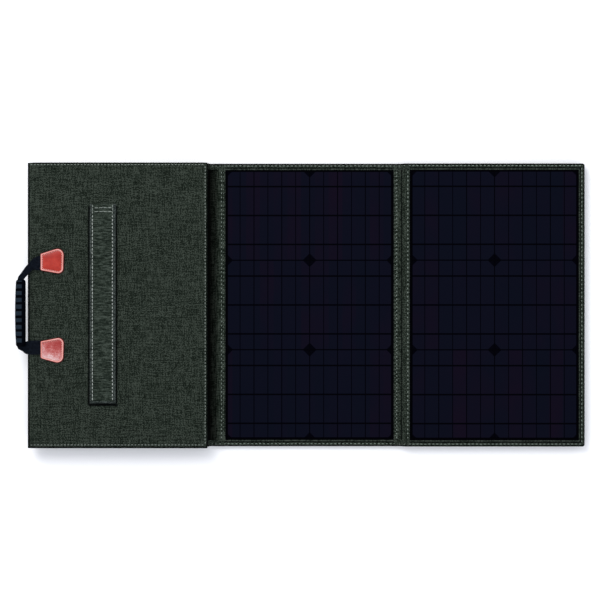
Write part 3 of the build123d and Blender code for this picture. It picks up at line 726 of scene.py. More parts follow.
def cover_profile():
    prof = []
    for x in axis_list(-472, X12B, 9.0, (-166, -167.2, -168.6, -170, -172, -176))[::-1]:
        prof.append((x, 16.02))
    for a in range(1, 24):
        t = math.radians(-90 - 180 * a / 24)
        prof.append((-472.0 + 8.75 * math.cos(t), 24.25 + 8.23 * math.sin(t)))
    for x in axis_list(-472, X12A, 6.0, (-164.9, -166, -167.2, -168.6, -170, -172, -176)):
        prof.append((x, 32.48))
    return prof


prof12 = cover_profile()
ys12 = axis_list(-251.2, 249.7, 6.0, (-250.6, -249.2, -248.2, -247.2, -246.4, -245.8, -245.2, -244.4, -242, 249.2, 248.2, 247.2, 246.3, 245.7, 244.6, 242))
# the outer wrap of the fold and the strips along the lower and right edges take the near-black material as painted
# shade of edges turning away from the light
cover12 = strip_solid("canvas_cover_12", prof12, -0.85, ys12, [CANVAS, BINDING_AND_EDGE_SHADE], mat_of=lambda i, j: 1 if prof12[i][0] < -477.2 or ys12[j] < -249.3 or (prof12[i][1] > 32 and prof12[i][0] > -166.5) else 0)
me = cover12.data
co = np.zeros(len(me.vertices) * 3); me.vertices.foreach_get("co", co); co = co.reshape(-1, 3)
for i, (x, y, z) in enumerate(co):
    if z > 0.0315 and x < -0.1640:
        X, Y = x * 1000, y * 1000
        d = min(abs(X + 168.3), abs(Y - 246.2), abs(Y + 245.4))
        dip = 0.30 * math.exp(-(d / 0.9) ** 2) if X > -474 else 0
        co[i, 2] += (-dip + 0.10 * wob(X, Y, 46, 38, 1.3) * (1 if X > -470 else 0.3) - 0.05) * MM
me.vertices.foreach_set("co", co.ravel()); me.update()
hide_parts("leaf1_back_cover", "leaf2_back_cover", "hinge_12")
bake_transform(cover12)


def binding(name, path, zs, body, inset=2.0, t=0.55, ends=True):
    """Tape folded round an edge, near-black, its tone partly painted shade of the rounded edge. path: (x, y, inward
    normal x, y); zs: (bottom, top) of the tape.
    """
    zb, zt = zs
    prof = [(inset, zt - 0.05), (inset * 0.55, zt), (0.7, zt - 0.02), (0.15, zt - 0.35), (-0.05, zt - 1.0), (-0.08, (zt + zb) / 2),
            (-0.05, zb + 1.0), (0.15, zb + 0.35), (0.7, zb + 0.02), (inset * 0.55, zb), (inset, zb + 0.05),
            (inset, zb + t), (0.75, zb + t), (0.5, zb + t + 0.6), (0.5, zt - t - 0.6), (0.75, zt - t), (inset, zt - t)]
    verts, faces = [], []
    m = len(prof)
    for (x, y, nx, ny) in path:
        wv = 0.10 * wob(x, y, 9, 9, 4.4)
        for (d, z) in prof:
            dd = d + (wv if d > 1.5 else 0)
            verts.append((x + nx * dd, y + ny * dd, z))
    for i in range(len(path) - 1):
        for k in range(m):
            a, b = i * m + k, i * m + (k + 1) % m
            faces.append((a, b, b + m, a + m))
    faces.append(tuple(range(m))); faces.append(tuple((len(path) - 1) * m + k for k in reversed(range(m))))
    o = add_mesh(name, verts, faces, BINDING_AND_EDGE_SHADE)
    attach(o, body)
    return o


def edge_path(x0, x1, y0, y1, r, sides):
    """Points with inward normals round the right end (sides 'U') or along one long edge ('T' or 'B')."""
    pts = []
    def lin(a, b, nx, ny, step=4.0):
        k = max(2, int(math.hypot(b[0] - a[0], b[1] - a[1]) / step))
        for i in range(k + 1):
            t = i / k
            pts.append((a[0] + (b[0] - a[0]) * t, a[1] + (b[1] - a[1]) * t, nx, ny))
    def arc(cx, cy, a0, a1):
        for i in range(1, 8):
            a = math.radians(a0 + (a1 - a0) * i / 8)
            pts.append((cx + r * math.cos(a), cy + r * math.sin(a), -math.cos(a), -math.sin(a)))
    if sides == "T":
        lin((x0, y1), (x1, y1), 0, -1)
    elif sides == "B":
        lin((x0, y0), (x1, y0), 0, 1)
    else:
        lin((x0, y1), (x1 - r, y1), 0, -1); arc(x1 - r, y1 - r, 90, 0)
        lin((x1, y1 - r), (x1, y0 + r), -1, 0); arc(x1 - r, y0 + r, 0, -90)
        lin((x1 - r, y0), (x0, y0), 0, 1)
    return pts


binding("leaf1_binding", edge_path(-471, -164.3, -250, 250, 4.0, "U"), (24.42, 32.66), "leaf_1", 1.7)
binding("leaf2_binding_top", edge_path(-471, -166, -250, 250, 3.0, "T"), (15.85, 24.1), "leaf_2", 1.9)
binding("leaf2_binding_bottom", edge_path(-471, -166, -250, 250, 3.0, "B"), (15.85, 24.1), "leaf_2", 1.9)
binding("leaf3_binding_top", edge_path(-142.4, 172.6, -250, 250, 3.0, "T"), (-0.02, 8.08), "leaf_3", 2.2)
binding("leaf3_binding_bottom", edge_path(-142.4, 172.6, -250, 250, 3.0, "B"), (-0.02, 8.08), "leaf_3", 2.2)
binding("leaf4_binding", edge_path(184.2, 500.8, -250, 250, 4.0, "U"), (6.4, 14.58), "leaf_4", 2.0)

# ------------------------------------------------------------------ hinge strips
YS_H = axis_list(-249.4, 249.4, 7.0, (-240.4, -239.6, -239.0, -238.2, 240.4, 239.6, 239.0, 238.2, -247.5, 247.5, -245.9, 245.9))


def crumple(o, amp, sx, sy, cond):
    m = o.data
    c = np.zeros(len(m.vertices) * 3); m.vertices.foreach_get("co", c); c = c.reshape(-1, 3)
    for i, (x, y, z) in enumerate(c):
        k = cond(x * 1000, y * 1000, z * 1000)
        if k:
            c[i, 2] += k * amp * wob(x * 1000, y * 1000, sx, sy, 2.2) * MM
    m.vertices.foreach_set("co", c.ravel()); m.update()


def dense(pts, per=4):
    return smooth_curve(pts, per)


p34 = [(164.15, 7.5), (164.2, 7.9), (164.7, 8.02), (166.5, 8.04), (168.4, 7.98), (169.3, 7.85), (170.2, 7.98), (172.6, 8.02),
       (174.6, 8.25), (176.4, 8.3), (177.6, 7.7), (178.6, 9.5), (180.4, 11.8), (182.2, 13.6), (184.2, 14.42),
       (185.6, 14.54), (187.0, 14.48), (188.4, 14.35), (189.4, 14.48), (190.2, 14.54), (191.2, 14.52), (191.65, 14.4), (191.7, 14.0)]
d34 = dense(p34, 3)
# faces in the dip between leaves 3 and 4 (X 176.9 to 178.5 mm) take the near-black material as painted shade in the
# crease
h34 = strip_solid("hinge_34_cloth", d34, -0.6, YS_H, [CANVAS, BINDING_AND_EDGE_SHADE], mat_of=lambda i, j: 1 if 176.9 < d34[i][0] < 178.5 else 0)
crumple(h34, 0.5, 6, 30, lambda x, y, z: math.exp(-((x - 178.4) / 4.0) ** 2))
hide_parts("hinge_34_front")
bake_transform(h34)

p34b = [(168.0, 0.95), (171.0, 0.95), (173.5, 0.95), (176.0, 1.3), (178.4, 2.6), (181.0, 5.0), (183.2, 7.0), (185.0, 7.5), (188.5, 7.5)]
h34b = strip_solid("hinge_34_back_cloth", dense(p34b, 4), -0.6, YS_H, [CANVAS])
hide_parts("hinge_34_back")
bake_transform(h34b)

p23 = [(-134.4, 7.5), (-134.5, 7.9), (-135.0, 8.02), (-136.5, 8.04), (-139.6, 7.98), (-140.9, 7.85), (-142.0, 7.98), (-144.5, 7.9),
       (-148.0, 6.9), (-152.0, 4.9), (-156.0, 3.0), (-159.5, 2.5), (-161.8, 4.6), (-163.0, 9.0), (-163.4, 14.0), (-163.7, 19.0),
       (-164.3, 22.6), (-165.4, 24.0), (-167.0, 24.12), (-169.5, 24.12)]
h23 = strip_solid("hinge_23_cloth", dense(p23, 3), 0.6, YS_H, [CANVAS_CREASE_SHADOW])
crumple(h23, 0.6, 8, 34, lambda x, y, z: math.exp(-((x + 152) / 5.0) ** 2))
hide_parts("hinge_23")
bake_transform(h23)


# hems of the hinge strips at both ends, in line with the borders
def hem_piece(name, prof, y0, y1, mats):
    ys = [y0, y0 + (y1 - y0) * 0.08, y0 + (y1 - y0) * 0.3, y0 + (y1 - y0) * 0.62, y0 + (y1 - y0) * 0.92, y1]
    P = np.array(prof, float)
    o = strip_solid(name, P, -0.5 if P[0, 0] < P[-1, 0] else 0.5, ys, mats)
    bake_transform(o)
    return o


def raised(prof, dz):
    P = np.array(prof, float)
    T = np.gradient(P, axis=0); T /= np.linalg.norm(T, axis=1)[:, None]
    N = np.stack([-T[:, 1], T[:, 0]], 1)
    if N[:, 1].mean() < 0:
        N = -N
    return P + N * dz


q34 = dense([(166.0, 8.0), (169.1, 8.0), (172.6, 8.0), (174.6, 8.2), (176.6, 8.6), (177.6, 8.8), (178.6, 9.9), (180.4, 11.8), (182.2, 13.6), (184.2, 14.48), (187.7, 14.5), (190.6, 14.5)], 3)
b34 = ("leaf_3", "leaf_4", (0.1730, 0, 0.0083), (0.1838, 0, 0.0143))
q23 = dense([(-137.0, 8.0), (-140.8, 8.0), (-144.5, 7.98), (-148.0, 7.75), (-152.0, 7.2), (-156.0, 6.7), (-159.5, 6.7), (-161.8, 7.6), (-162.9, 10.0), (-163.3, 14.0), (-163.6, 19.0)], 3)
b23 = ("leaf_3", "leaf_2", (-0.1432, 0, 0.0080), (-0.1640, 0, 0.0200))
for s, tag in ((1, "top"), (-1, "bottom")):
    hem_piece(f"hinge_34_hem_{tag}", raised(q34, 0.06), s * 239.2, s * 249.9, [CANVAS])
    hem_piece(f"hinge_34_tape_{tag}", raised(q34, 0.12), s * 247.7, s * 250.0, [BINDING_AND_EDGE_SHADE])
    hem_piece(f"hinge_23_hem_{tag}", raised(q23, 0.06), s * 239.2, s * 249.9, [CANVAS])
    hem_piece(f"hinge_23_tape_{tag}", raised(q23, 0.12), s * 247.7, s * 250.0, [BINDING_AND_EDGE_SHADE])
    for hid, prof_, bl, xa, xb in (("34", raised(q34, -0.05), b34, 170.0, 187.2), ("23", raised(q23, -0.05), b23, -160.5, -140.0)):
        order = np.argsort(prof_[:, 0])
        px_, pz_ = prof_[order, 0], prof_[order, 1]
        zf = lambda x, y, a=px_, b=pz_: float(np.interp(x, a, b))
        stitch_mesh(f"hinge_{hid}_stitches_{tag}", row((xa, s * 246.0), (xb, s * 246.0), zf, 6.8, 4.2, 1.35, 0.6), THREAD_DIM, None, bl)


# ------------------------------------------------------------------ kickstands
def kickstand(tag, sx, back_z, side, body, parent, anchor, cover, board_hidden):
    """Fabric strip, sewn down at its top end, with a board in it. side +1 above the leaf, -1 below."""
    W0, W1 = sx - 22.8, sx + 22.9
    YT, YF, YP = 177.5, -172.4, 160.0
    def sgn(z):
        return back_z + side * z
    seam0, seam1 = W0 + 5.0, W1 - 5.9
    def top_h(x, y):
        t = min(1.0, max(0.0, (y - 152.0) / 13.0))
        base = 5.85 * (1 - t) + 2.05 * t
        e = min(x - W0, W1 - x)
        r = 2.2
        edge = (1 - math.sqrt(max(0.0, 1 - (1 - min(e, r) / r) ** 2))) * (1.7 if t < 1 else 1.2)
        ef = y - YF
        r2 = 3.0
        edge = max(edge, (1 - math.sqrt(max(0.0, 1 - (1 - min(ef, r2) / r2) ** 2))) * 2.2)
        et = YT - y
        edge = max(edge, (1 - math.sqrt(max(0.0, 1 - (1 - min(et, 1.5) / 1.5) ** 2))) * 0.9)
        d = min(abs(x - seam0), abs(x - seam1))
        ph = math.sin(2 * math.pi * y / 6.3)
        seam = 0.62 * math.exp(-(d / 1.15) ** 2) * (0.85 + 0.15 * ph)
        pull = 0.0
        inside = seam0 + 0.8 < x < seam1 - 0.8
        if inside:
            u = (x - seam0) / (seam1 - seam0)
            yy = y + 1.1 * wob(x, y, 11, 17, 3.1)
            ridge = math.sin(2 * math.pi * yy / 6.3) * (0.75 + 0.5 * wob(x, y, 14, 10, 8.8))
            ampl = 0.05 + 0.12 * abs(2 * u - 1)
            pull = ampl * ridge + 0.05 * wob(x, y, 16, 2.8, 5.7)
            pull *= 1.0 if y < 160 else 0.35
        else:
            pull = 0.13 * ph * (1 if y < 160 else 0.3)
        cross = 0.0
        for yc in (170.4, 167.2, 163.5):
            cross = max(cross, 0.35 * math.exp(-((y - yc) / 1.1) ** 2))
        h = base - edge - seam + pull * (1 if edge < 0.4 else 0.3) - cross
        if ef < 5.5:
            h = max(h, base - edge - 0.05) - (0.35 * math.exp(-((ef - 5.2) / 0.7) ** 2))
        return h
    def under(x, y):
        t = min(1.0, max(0.0, (y - 152.0) / 13.0))
        e = min(x - W0, W1 - x, y - YF)
        return (0.95 * (1 - t) + 0.08 * t) + (0.5 if e < 0.8 else 0.0) * (1 - t)
    xs = axis_list(W0, W1, 1.6, (W0 + 0.35, W0 + 0.9, W0 + 1.6, W1 - 0.35, W1 - 0.9, W1 - 1.6, seam0, seam0 - 0.7, seam0 + 0.7, seam1, seam1 - 0.7, seam1 + 0.7))
    ys = axis_list(YF, YT, 1.35, (YF + 0.4, YF + 1.0, YF + 2.0, YT - 0.4))
    # top faces along the long edges and the free end take the paler canvas as a painted highlight of the rounded edges
    o = grid_solid(f"{tag}_fabric", xs, ys, lambda x, y: sgn(top_h(x, y)), lambda x, y: sgn(under(x, y)),
                   [CANVAS_STRIP, CANVAS_EDGE_HIGHLIGHT], lambda x, y: 1 if (x > seam1 + 1.4 or x < seam0 - 2.2 or y < YF + 3.6) else 0)
    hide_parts(anchor, cover, board_hidden)
    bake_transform(o)
    # dark tape under the long edges and the free end, reaching out past the strip as a painted shadow outline
    def tape(name, y0, y1, top, base, who, end):
        pieces = []
        out = 3.4 if side > 0 else 2.0
        outline = [(W0 + 2.0, y1), (W0 - out, y1), (W0 - out, y0 - (4.2 if end else 0)), (W1 + 2.0, y0 - (4.2 if end else 0)), (W1 + 2.0, y1), (W1 - 2.0, y1), (W1 - 2.0, y0 + 1.5), (W0 + 2.0, y0 + 1.5)]
        if not end:
            outline = [(W0 + 2.0, y1), (W0 - out, y1), (W0 - out, y0), (W0 + 2.0, y0)]
            verts, faces = [], []
            for (a, b) in ((W0 - out, W0 + 2.0), (W1 - 2.0, W1 + 2.0)):
                v = len(verts)
                ys = [y0 + (y1 - y0) * k / 10 for k in range(11)]
                for yy in ys:
                    for (xx, zz) in ((a, base), (b, base), (b, top), (a + 0.6 if a < W0 else a, top), (a, base + 0.25)):
                        verts.append((xx + 0.2 * wob(xx, yy, 8, 8, 1.0) * (1 if abs(xx - a) < 0.7 else 0), yy, sgn(zz)))
                for k in range(len(ys) - 1):
                    for q in range(5):
                        p, r = v + k * 5 + q, v + k * 5 + (q + 1) % 5
                        faces.append((p, r, r + 5, p + 5))
                faces.append(tuple(v + q for q in range(5))); faces.append(tuple(v + 10 * 5 + q for q in reversed(range(5))))
            t = add_mesh(name, verts, faces, BINDING_AND_EDGE_SHADE, smooth=False)
            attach(t, who)
            return t
        # a U round the two long edges and the end, one closed bar
        path = []
        n = 60
        for k in range(n + 1):
            path.append((W0, y1 + (y0 - y1) * k / n, -1, 0))
        for k in range(1, 6):
            a = math.radians(180 + 90 * k / 6)
            path.append((W0 + 2 + 2 * math.cos(a), y0 + 2 + 2 * math.sin(a) - 2, math.cos(a), math.sin(a)))
        for k in range(9):
            path.append((W0 + 2 + (W1 - W0 - 4) * k / 8, y0, 0, -1))
        for k in range(1, 6):
            a = math.radians(270 + 90 * k / 6)
            path.append((W1 - 2 + 2 * math.cos(a), y0 + 2 + 2 * math.sin(a) - 2, math.cos(a), math.sin(a)))
        for k in range(n + 1):
            path.append((W1, y0 + (y1 - y0) * k / n, 1, 0))
        verts, faces = [], []
        for (x, y, nx, ny) in path:
            o_ = 3.3 if nx < -0.5 else (4.4 if ny < -0.5 else 1.9)
            w_ = o_ + 0.25 * wob(x, y, 9, 9, 2.0)
            for (d, zz) in ((-2.0, base), (w_, base), (w_ + 0.1, base + 0.3), (w_ - 0.5, top), (-2.0, top)):
                verts.append((x + nx * d, y + ny * d, sgn(zz)))
        for k in range(len(path) - 1):
            for q in range(5):
                p, r = k * 5 + q, k * 5 + (q + 1) % 5
                faces.append((p, r, r + 5, p + 5))
        faces.append(tuple(range(5))); faces.append(tuple((len(path) - 1) * 5 + q for q in reversed(range(5))))
        t = add_mesh(name, verts, faces, BINDING_AND_EDGE_SHADE)
        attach(t, who)
        return t
    tape(f"{tag}_edge_tape_and_shadow", YF, 159.6, 1.35, 0.55, body, True)
    tape(f"{tag}_anchor_tape_and_shadow", 160.2, YT - 4.5, 0.75, 0.06, parent, False)
    zt = lambda x, y: sgn(top_h(x, y) + 0.42)
    items = row((seam0, YF + 5.0), (seam0, 158.0), zt, 6.3, 5.3, 1.35, 0.7, side)
    items += row((seam1 + 0.2, YF + 5.0), (seam1 + 0.2, 158.0), zt, 6.3, 4.3, 1.6, 0.75, side)
    stitch_mesh(f"{tag}_stitches", items, THREAD, body)
    items = []
    for xx in (seam0, seam1):
        items += row((xx, 158.6), (xx, 176.4), zt, 5.9, 5.6, 1.3, 0.7, side)
    for yc in (170.4, 163.5):
        items += row((seam0 + 2.5, yc), (seam1 - 0.5, yc), zt, 6.8, 7.2, 1.3, 0.6, side)
        items += row((seam0 + 14, yc + 0.9), (seam1 - 0.5, yc + 0.9), zt, 6.8, 6.7, 0.7, 0.5, side)
    stitch_mesh(f"{tag}_anchor_stitches", items, THREAD_COVER, parent)


kickstand("kickstand_a", -347.5, 32.5, 1, "kickstand_a", "leaf_1", "kickstand_a_anchor", "kickstand_a_cover", "kickstand_a_board")
kickstand("kickstand_b", 335.0, 6.5, -1, "kickstand_b", "leaf_4", "kickstand_b_anchor", "kickstand_b_cover", "kickstand_b_board")

# ------------------------------------------------------------------ seams of the cover and borders
zc = lambda x, y: 32.48 - 0.02 + 0.10 * wob(x, y, 46, 38, 1.3)
items = row((-476, 246.2), (-170, 246.2), zc, 5.8, 3.6, 1.15, 0.62)
items += row((-168.3, 244.6), (-168.3, -244.4), zc, 5.8, 3.7, 1.3, 0.62)
items += row((-476, -245.4), (-170, -245.4), zc, 5.8, 3.6, 1.2, 0.62)
stitch_mesh("cover_stitches", items, THREAD_COVER, "leaf_1")

def zigzag(x0, x1, y0, y1, z, pitch, w, h, up=1):
    n = int((y1 - y0) / pitch)
    out = []
    for k in range(n):
        ya, yb = y0 + (y1 - y0) * k / n, y0 + (y1 - y0) * (k + 1) / n
        a, b = ((x0, ya), (x1, yb)) if k % 2 else ((x1, ya), (x0, yb))
        L = math.hypot(b[0] - a[0], b[1] - a[1])
        out.append(((a[0] + b[0]) / 2, (a[1] + b[1]) / 2, z, math.degrees(math.atan2(b[1] - a[1], b[0] - a[0])), L * 0.86, w, h, up))
    return out


items = row((-139.0, 246.1), (169.0, 246.1), 7.90, 7.0, 4.3, 1.35, 0.5)
items += row((-139.0, -245.7), (169.0, -245.7), 7.90, 7.0, 4.3, 1.35, 0.5)
items += row((-141.0, 238), (-141.0, -238), 7.90, 7.3, 4.2, 1.5, 0.56)
items += [(x, y + 3.6, z, a - 28, L, w, h, u) for (x, y, z, a, L, w, h, u) in row((-137.6, 234), (-137.6, -238), 7.97, 7.3, 3.0, 0.95, 0.40)]
items += [(x, y, z, a + 16, L, w, h, u) for (x, y, z, a, L, w, h, u) in row((169.4, 238), (169.4, -238), 7.90, 6.8, 4.2, 1.6, 0.56)]
items += [(x, y + 3.4, z, a - 28, L, w, h, u) for (x, y, z, a, L, w, h, u) in row((166.6, 234), (166.6, -238), 7.97, 6.8, 3.0, 1.0, 0.40)]
stitch_mesh("leaf3_stitches", items, THREAD_DIM, "leaf_3")
items = row((188.0, 246.1), (496.0, 246.1), 14.40, 7.0, 4.3, 1.35, 0.5)
items += row((188.0, -245.7), (496.0, -245.7), 14.40, 7.0, 4.3, 1.35, 0.5)
items += row((188.5, 238), (188.5, -238), 14.40, 7.3, 4.3, 1.7, 0.56)
items += row((495.7, 244), (495.7, -244), 14.40, 7.2, 4.3, 1.35, 0.5)
stitch_mesh("leaf4_stitches", items, THREAD_DIM, "leaf_4")
# leaves 1 and 2, on their faces
items = row((-470, 245.9), (-168, 245.9), 23.98, 5.8, 4.2, 0.85, 0.45) + row((-470, -245.9), (-168, -245.9), 23.98, 5.8, 4.2, 0.85, 0.45)
stitch_mesh("leaf2_stitches", items, THREAD_DIM, "leaf_2")
items = row((-470, 245.9), (-168, 245.9), 24.52, 5.8, 4.2, 0.85, 0.45, -1) + row((-470, -245.9), (-168, -245.9), 24.52, 5.8, 4.2, 0.85, 0.45, -1)
stitch_mesh("leaf1_face_stitches", items, THREAD_DIM, "leaf_1")


# ------------------------------------------------------------------ leather tabs
def offset_poly(corners, radii, d, n_side=7, n_arc=6):
    """Rounded convex polygon, moved in by d, with the same number of points for every d."""
    k = len(corners)
    P = [np.array(c, float) for c in corners]
    lines = []
    for i in range(k):
        a, b = P[i], P[(i + 1) % k]
        t = (b - a) / np.linalg.norm(b - a)
        nrm = np.array([-t[1], t[0]])          # inward for counter-clockwise
        lines.append((a + nrm * d, t))
    Q = []
    for i in range(k):
        (a, t), (b, u) = lines[i - 1], lines[i]
        M = np.array([t, -u]).T
        s = np.linalg.solve(M, b - a)
        Q.append(a + t * s[0])
    arcs = []
    for i in range(k):
        t0, t1 = lines[i - 1][1], lines[i][1]
        ang = math.acos(max(-1, min(1, float(t0 @ t1))))
        r = max(radii[i] - d, 0.5)
        cut = r * math.tan(ang / 2)
        s, e = Q[i] - t0 * cut, Q[i] + t1 * cut
        nrm = np.array([-t0[1], t0[0]])
        c = s + nrm * r
        a0 = math.atan2(*(s - c)[::-1])
        arcs.append([c + r * np.array([math.cos(a0 + ang * j / n_arc), math.sin(a0 + ang * j / n_arc)]) for j in range(n_arc + 1)])
    pts = []
    for i in range(k):
        pts += [tuple(p) for p in arcs[i]]
        a, b = arcs[i][-1], arcs[(i + 1) % k][0]
        for j in range(1, n_side):
            pts.append(tuple(a + (b - a) * j / n_side))
    return pts


def tab(name, node_name, corners, radii, centre):
    """Leather tab with a raised pale rim, a sewn groove and a crowned middle."""
    # the outermost rings use the dark red, their flange reaching out past the tab as a painted shadow outline
    prof = [(0.9, 32.55, 2), (-0.5, 32.60, 2), (-0.9, 33.0, 2), (-0.8, 33.8, 2), (-0.2, 34.9, 2), (0.45, 35.5, 2), (0.95, 35.82, 0), (2.0, 35.90, 0),
            (2.5, 35.7, 0), (2.9, 35.2, 2), (3.4, 34.85, 1), (4.1, 34.95, 1), (5.4, 35.25, 1), (7.2, 35.5, 1), (9.6, 35.68, 1), (12.4, 35.78, 1), (14.6, 35.8, 1)]
    rings, rows = [], []
    for d, z, mi in prof:
        ring = []
        for (x, y) in offset_poly(corners, radii, d):
            zz = z + (0.10 * wob(x, y, 7, 7, 6.2) if z > 34 else 0)
            ring.append((x, y, zz))
        rings.append(ring)
        rows.append(mi)
    o = ring_solid(name, rings, [LEATHER_RIM, centre, LEATHER_DARK_EDGE_AND_SHADOW], rows[1:] + [1])
    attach(o, "leaf_1"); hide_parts(node_name)
    seam = offset_poly(corners, radii, 3.4, 7, 6)
    P = np.array(seam + [seam[0]])
    L = np.concatenate([[0], np.cumsum(np.linalg.norm(np.diff(P, axis=0), axis=1))])
    items = []
    count = int(L[-1] / 3.1)
    for i in range(count):
        s = (i + 0.5) * L[-1] / count
        j = min(len(P) - 2, int(np.searchsorted(L, s) - 1))
        f = (s - L[j]) / (L[j + 1] - L[j])
        p = P[j] + (P[j + 1] - P[j]) * f
        dv = P[j + 1] - P[j]
        items.append((p[0], p[1], 35.05, math.degrees(math.atan2(dv[1], dv[0])), 2.3, 0.75, 0.5, 1))
    stitch_mesh(name + "_stitches", items, THREAD_PINK, "leaf_1")
    return o


tab("tab_upper", "handle_tab_upper", [(-456.5, 61.0), (-417.0, 53.6), (-415.6, 102.6), (-456.5, 89.6)], [2.6, 9.0, 11.0, 1.8], LEATHER)
tab("tab_lower", "handle_tab_lower", [(-456.5, -93.2), (-417.2, -104.0), (-415.6, -55.6), (-456.5, -63.6)], [4.2, 10.5, 9.5, 1.8], LEATHER_GLARE)


# ------------------------------------------------------------------ webbing of the handle
def px(x, y, z):
    m = 1.7706 * (2600 - z) / 2592
    return ((x - 300) * m - 2.0, (300 - y) * m + 8.8)


def strap(name, secs, mats, n_around=20, per=5):
    """secs: (P, Q, z_P, z_Q, thickness): the two edges of the strap across its width, in picture-plane order."""
    rows = []
    for (a, b, za, zb, t) in secs:
        p, q = a, b
        rows.append((p[0], p[1], za, q[0], q[1], zb, t))
    S = smooth_curve(rows, per)
    verts, uvs = [], []
    length = 0.0
    prev = None
    for s in S:
        P, Q, t = np.array(s[0:3]), np.array(s[3:6]), s[6]
        c = (P + Q) / 2
        if prev is not None:
            length += np.linalg.norm(c - prev)
        prev = c
        u = (Q - P); w = np.linalg.norm(u); u = u / w
        up = np.array([0, 0, 1.0]); up = up - u * (up @ u); up /= np.linalg.norm(up)
        for k in range(n_around):
            a = 2 * math.pi * k / n_around
            ca, sa = math.cos(a), math.sin(a)
            cu = math.copysign(abs(ca) ** 0.35, ca) * w / 2
            su = math.copysign(abs(sa) ** 0.55, sa) * t / 2
            v = c + u * cu + up * su
            verts.append(tuple(v)); uvs.append((length * MM, cu * MM))
    n = n_around
    faces = []
    for i in range(len(S) - 1):
        for k in range(n):
            a, b = i * n + k, i * n + (k + 1) % n
            faces.append((a, b, b + n, a + n))
    faces.append(tuple(range(n))); faces.append(tuple((len(S) - 1) * n + k for k in reversed(range(n))))
    return add_mesh(name, verts, faces, mats, True, None, uvs)


up_secs = []
for (a, b, za, zb, t) in [
    ((46.0, 255.8), (46.0, 270.4), 33.45, 33.45, 1.7), ((41.3, 255.7), (41.5, 270.5), 33.5, 33.5, 1.8), ((38.6, 256.0), (39.4, 270.5), 33.9, 33.7, 1.9),
    ((35.8, 257.0), (36.9, 270.1), 34.8, 34.3, 2.2), ((32.8, 259.0), (34.4, 269.6), 36.2, 35.2, 2.8), ((29.6, 262.0), (32.0, 270.6), 37.8, 36.2, 3.3),
    ((26.5, 265.6), (29.6, 272.6), 39.2, 37.4, 3.6), ((23.2, 270.0), (27.3, 275.4), 40.4, 38.8, 3.8), ((20.4, 273.9), (25.3, 277.6), 41.0, 39.8, 3.9),
    ((18.2, 277.0), (24.2, 279.4), 41.2, 40.2, 4.0), ((17.6, 280.4), (23.8, 281.4), 41.0, 40.2, 4.0), ((17.6, 285.0), (23.8, 285.0), 40.6, 40.4, 3.8)]:
    up_secs.append((px(*a, za), px(*b, zb), za, zb, t))
w_up = strap("strap_upper", up_secs, WEBBING)
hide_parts("handle_webbing")
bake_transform(w_up)

lo_secs = []
for (a, b, za, zb, t) in [
    ((46.0, 340.6), (46.0, 354.6), 33.45, 33.45, 1.7), ((41.3, 340.4), (41.3, 354.7), 33.5, 33.5, 1.8), ((38.0, 340.4), (38.0, 354.7), 33.7, 33.7, 1.8),
    ((34.0, 340.5), (34.0, 354.6), 34.0, 34.0, 1.8), ((30.5, 340.6), (30.3, 354.6), 34.4, 34.3, 1.9), ((27.8, 340.9), (27.2, 354.3), 35.2, 34.8, 2.1),
    ((25.9, 341.6), (25.0, 353.4), 36.8, 36.0, 2.6), ((24.6, 342.4), (22.9, 351.6), 38.4, 37.6, 3.2), ((23.9, 342.8), (20.5, 350.2), 39.6, 39.2, 3.7),
    ((23.6, 342.6), (18.2, 348.9), 40.3, 40.2, 4.0), ((23.6, 341.0), (17.2, 345.0), 40.5, 40.5, 4.0), ((23.6, 337.0), (17.4, 337.0), 40.5, 40.5, 3.8)]:
    lo_secs.append((px(*a, za), px(*b, zb), za, zb, t))
w_lo = strap("strap_lower", lo_secs, WEBBING)
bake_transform(w_lo)


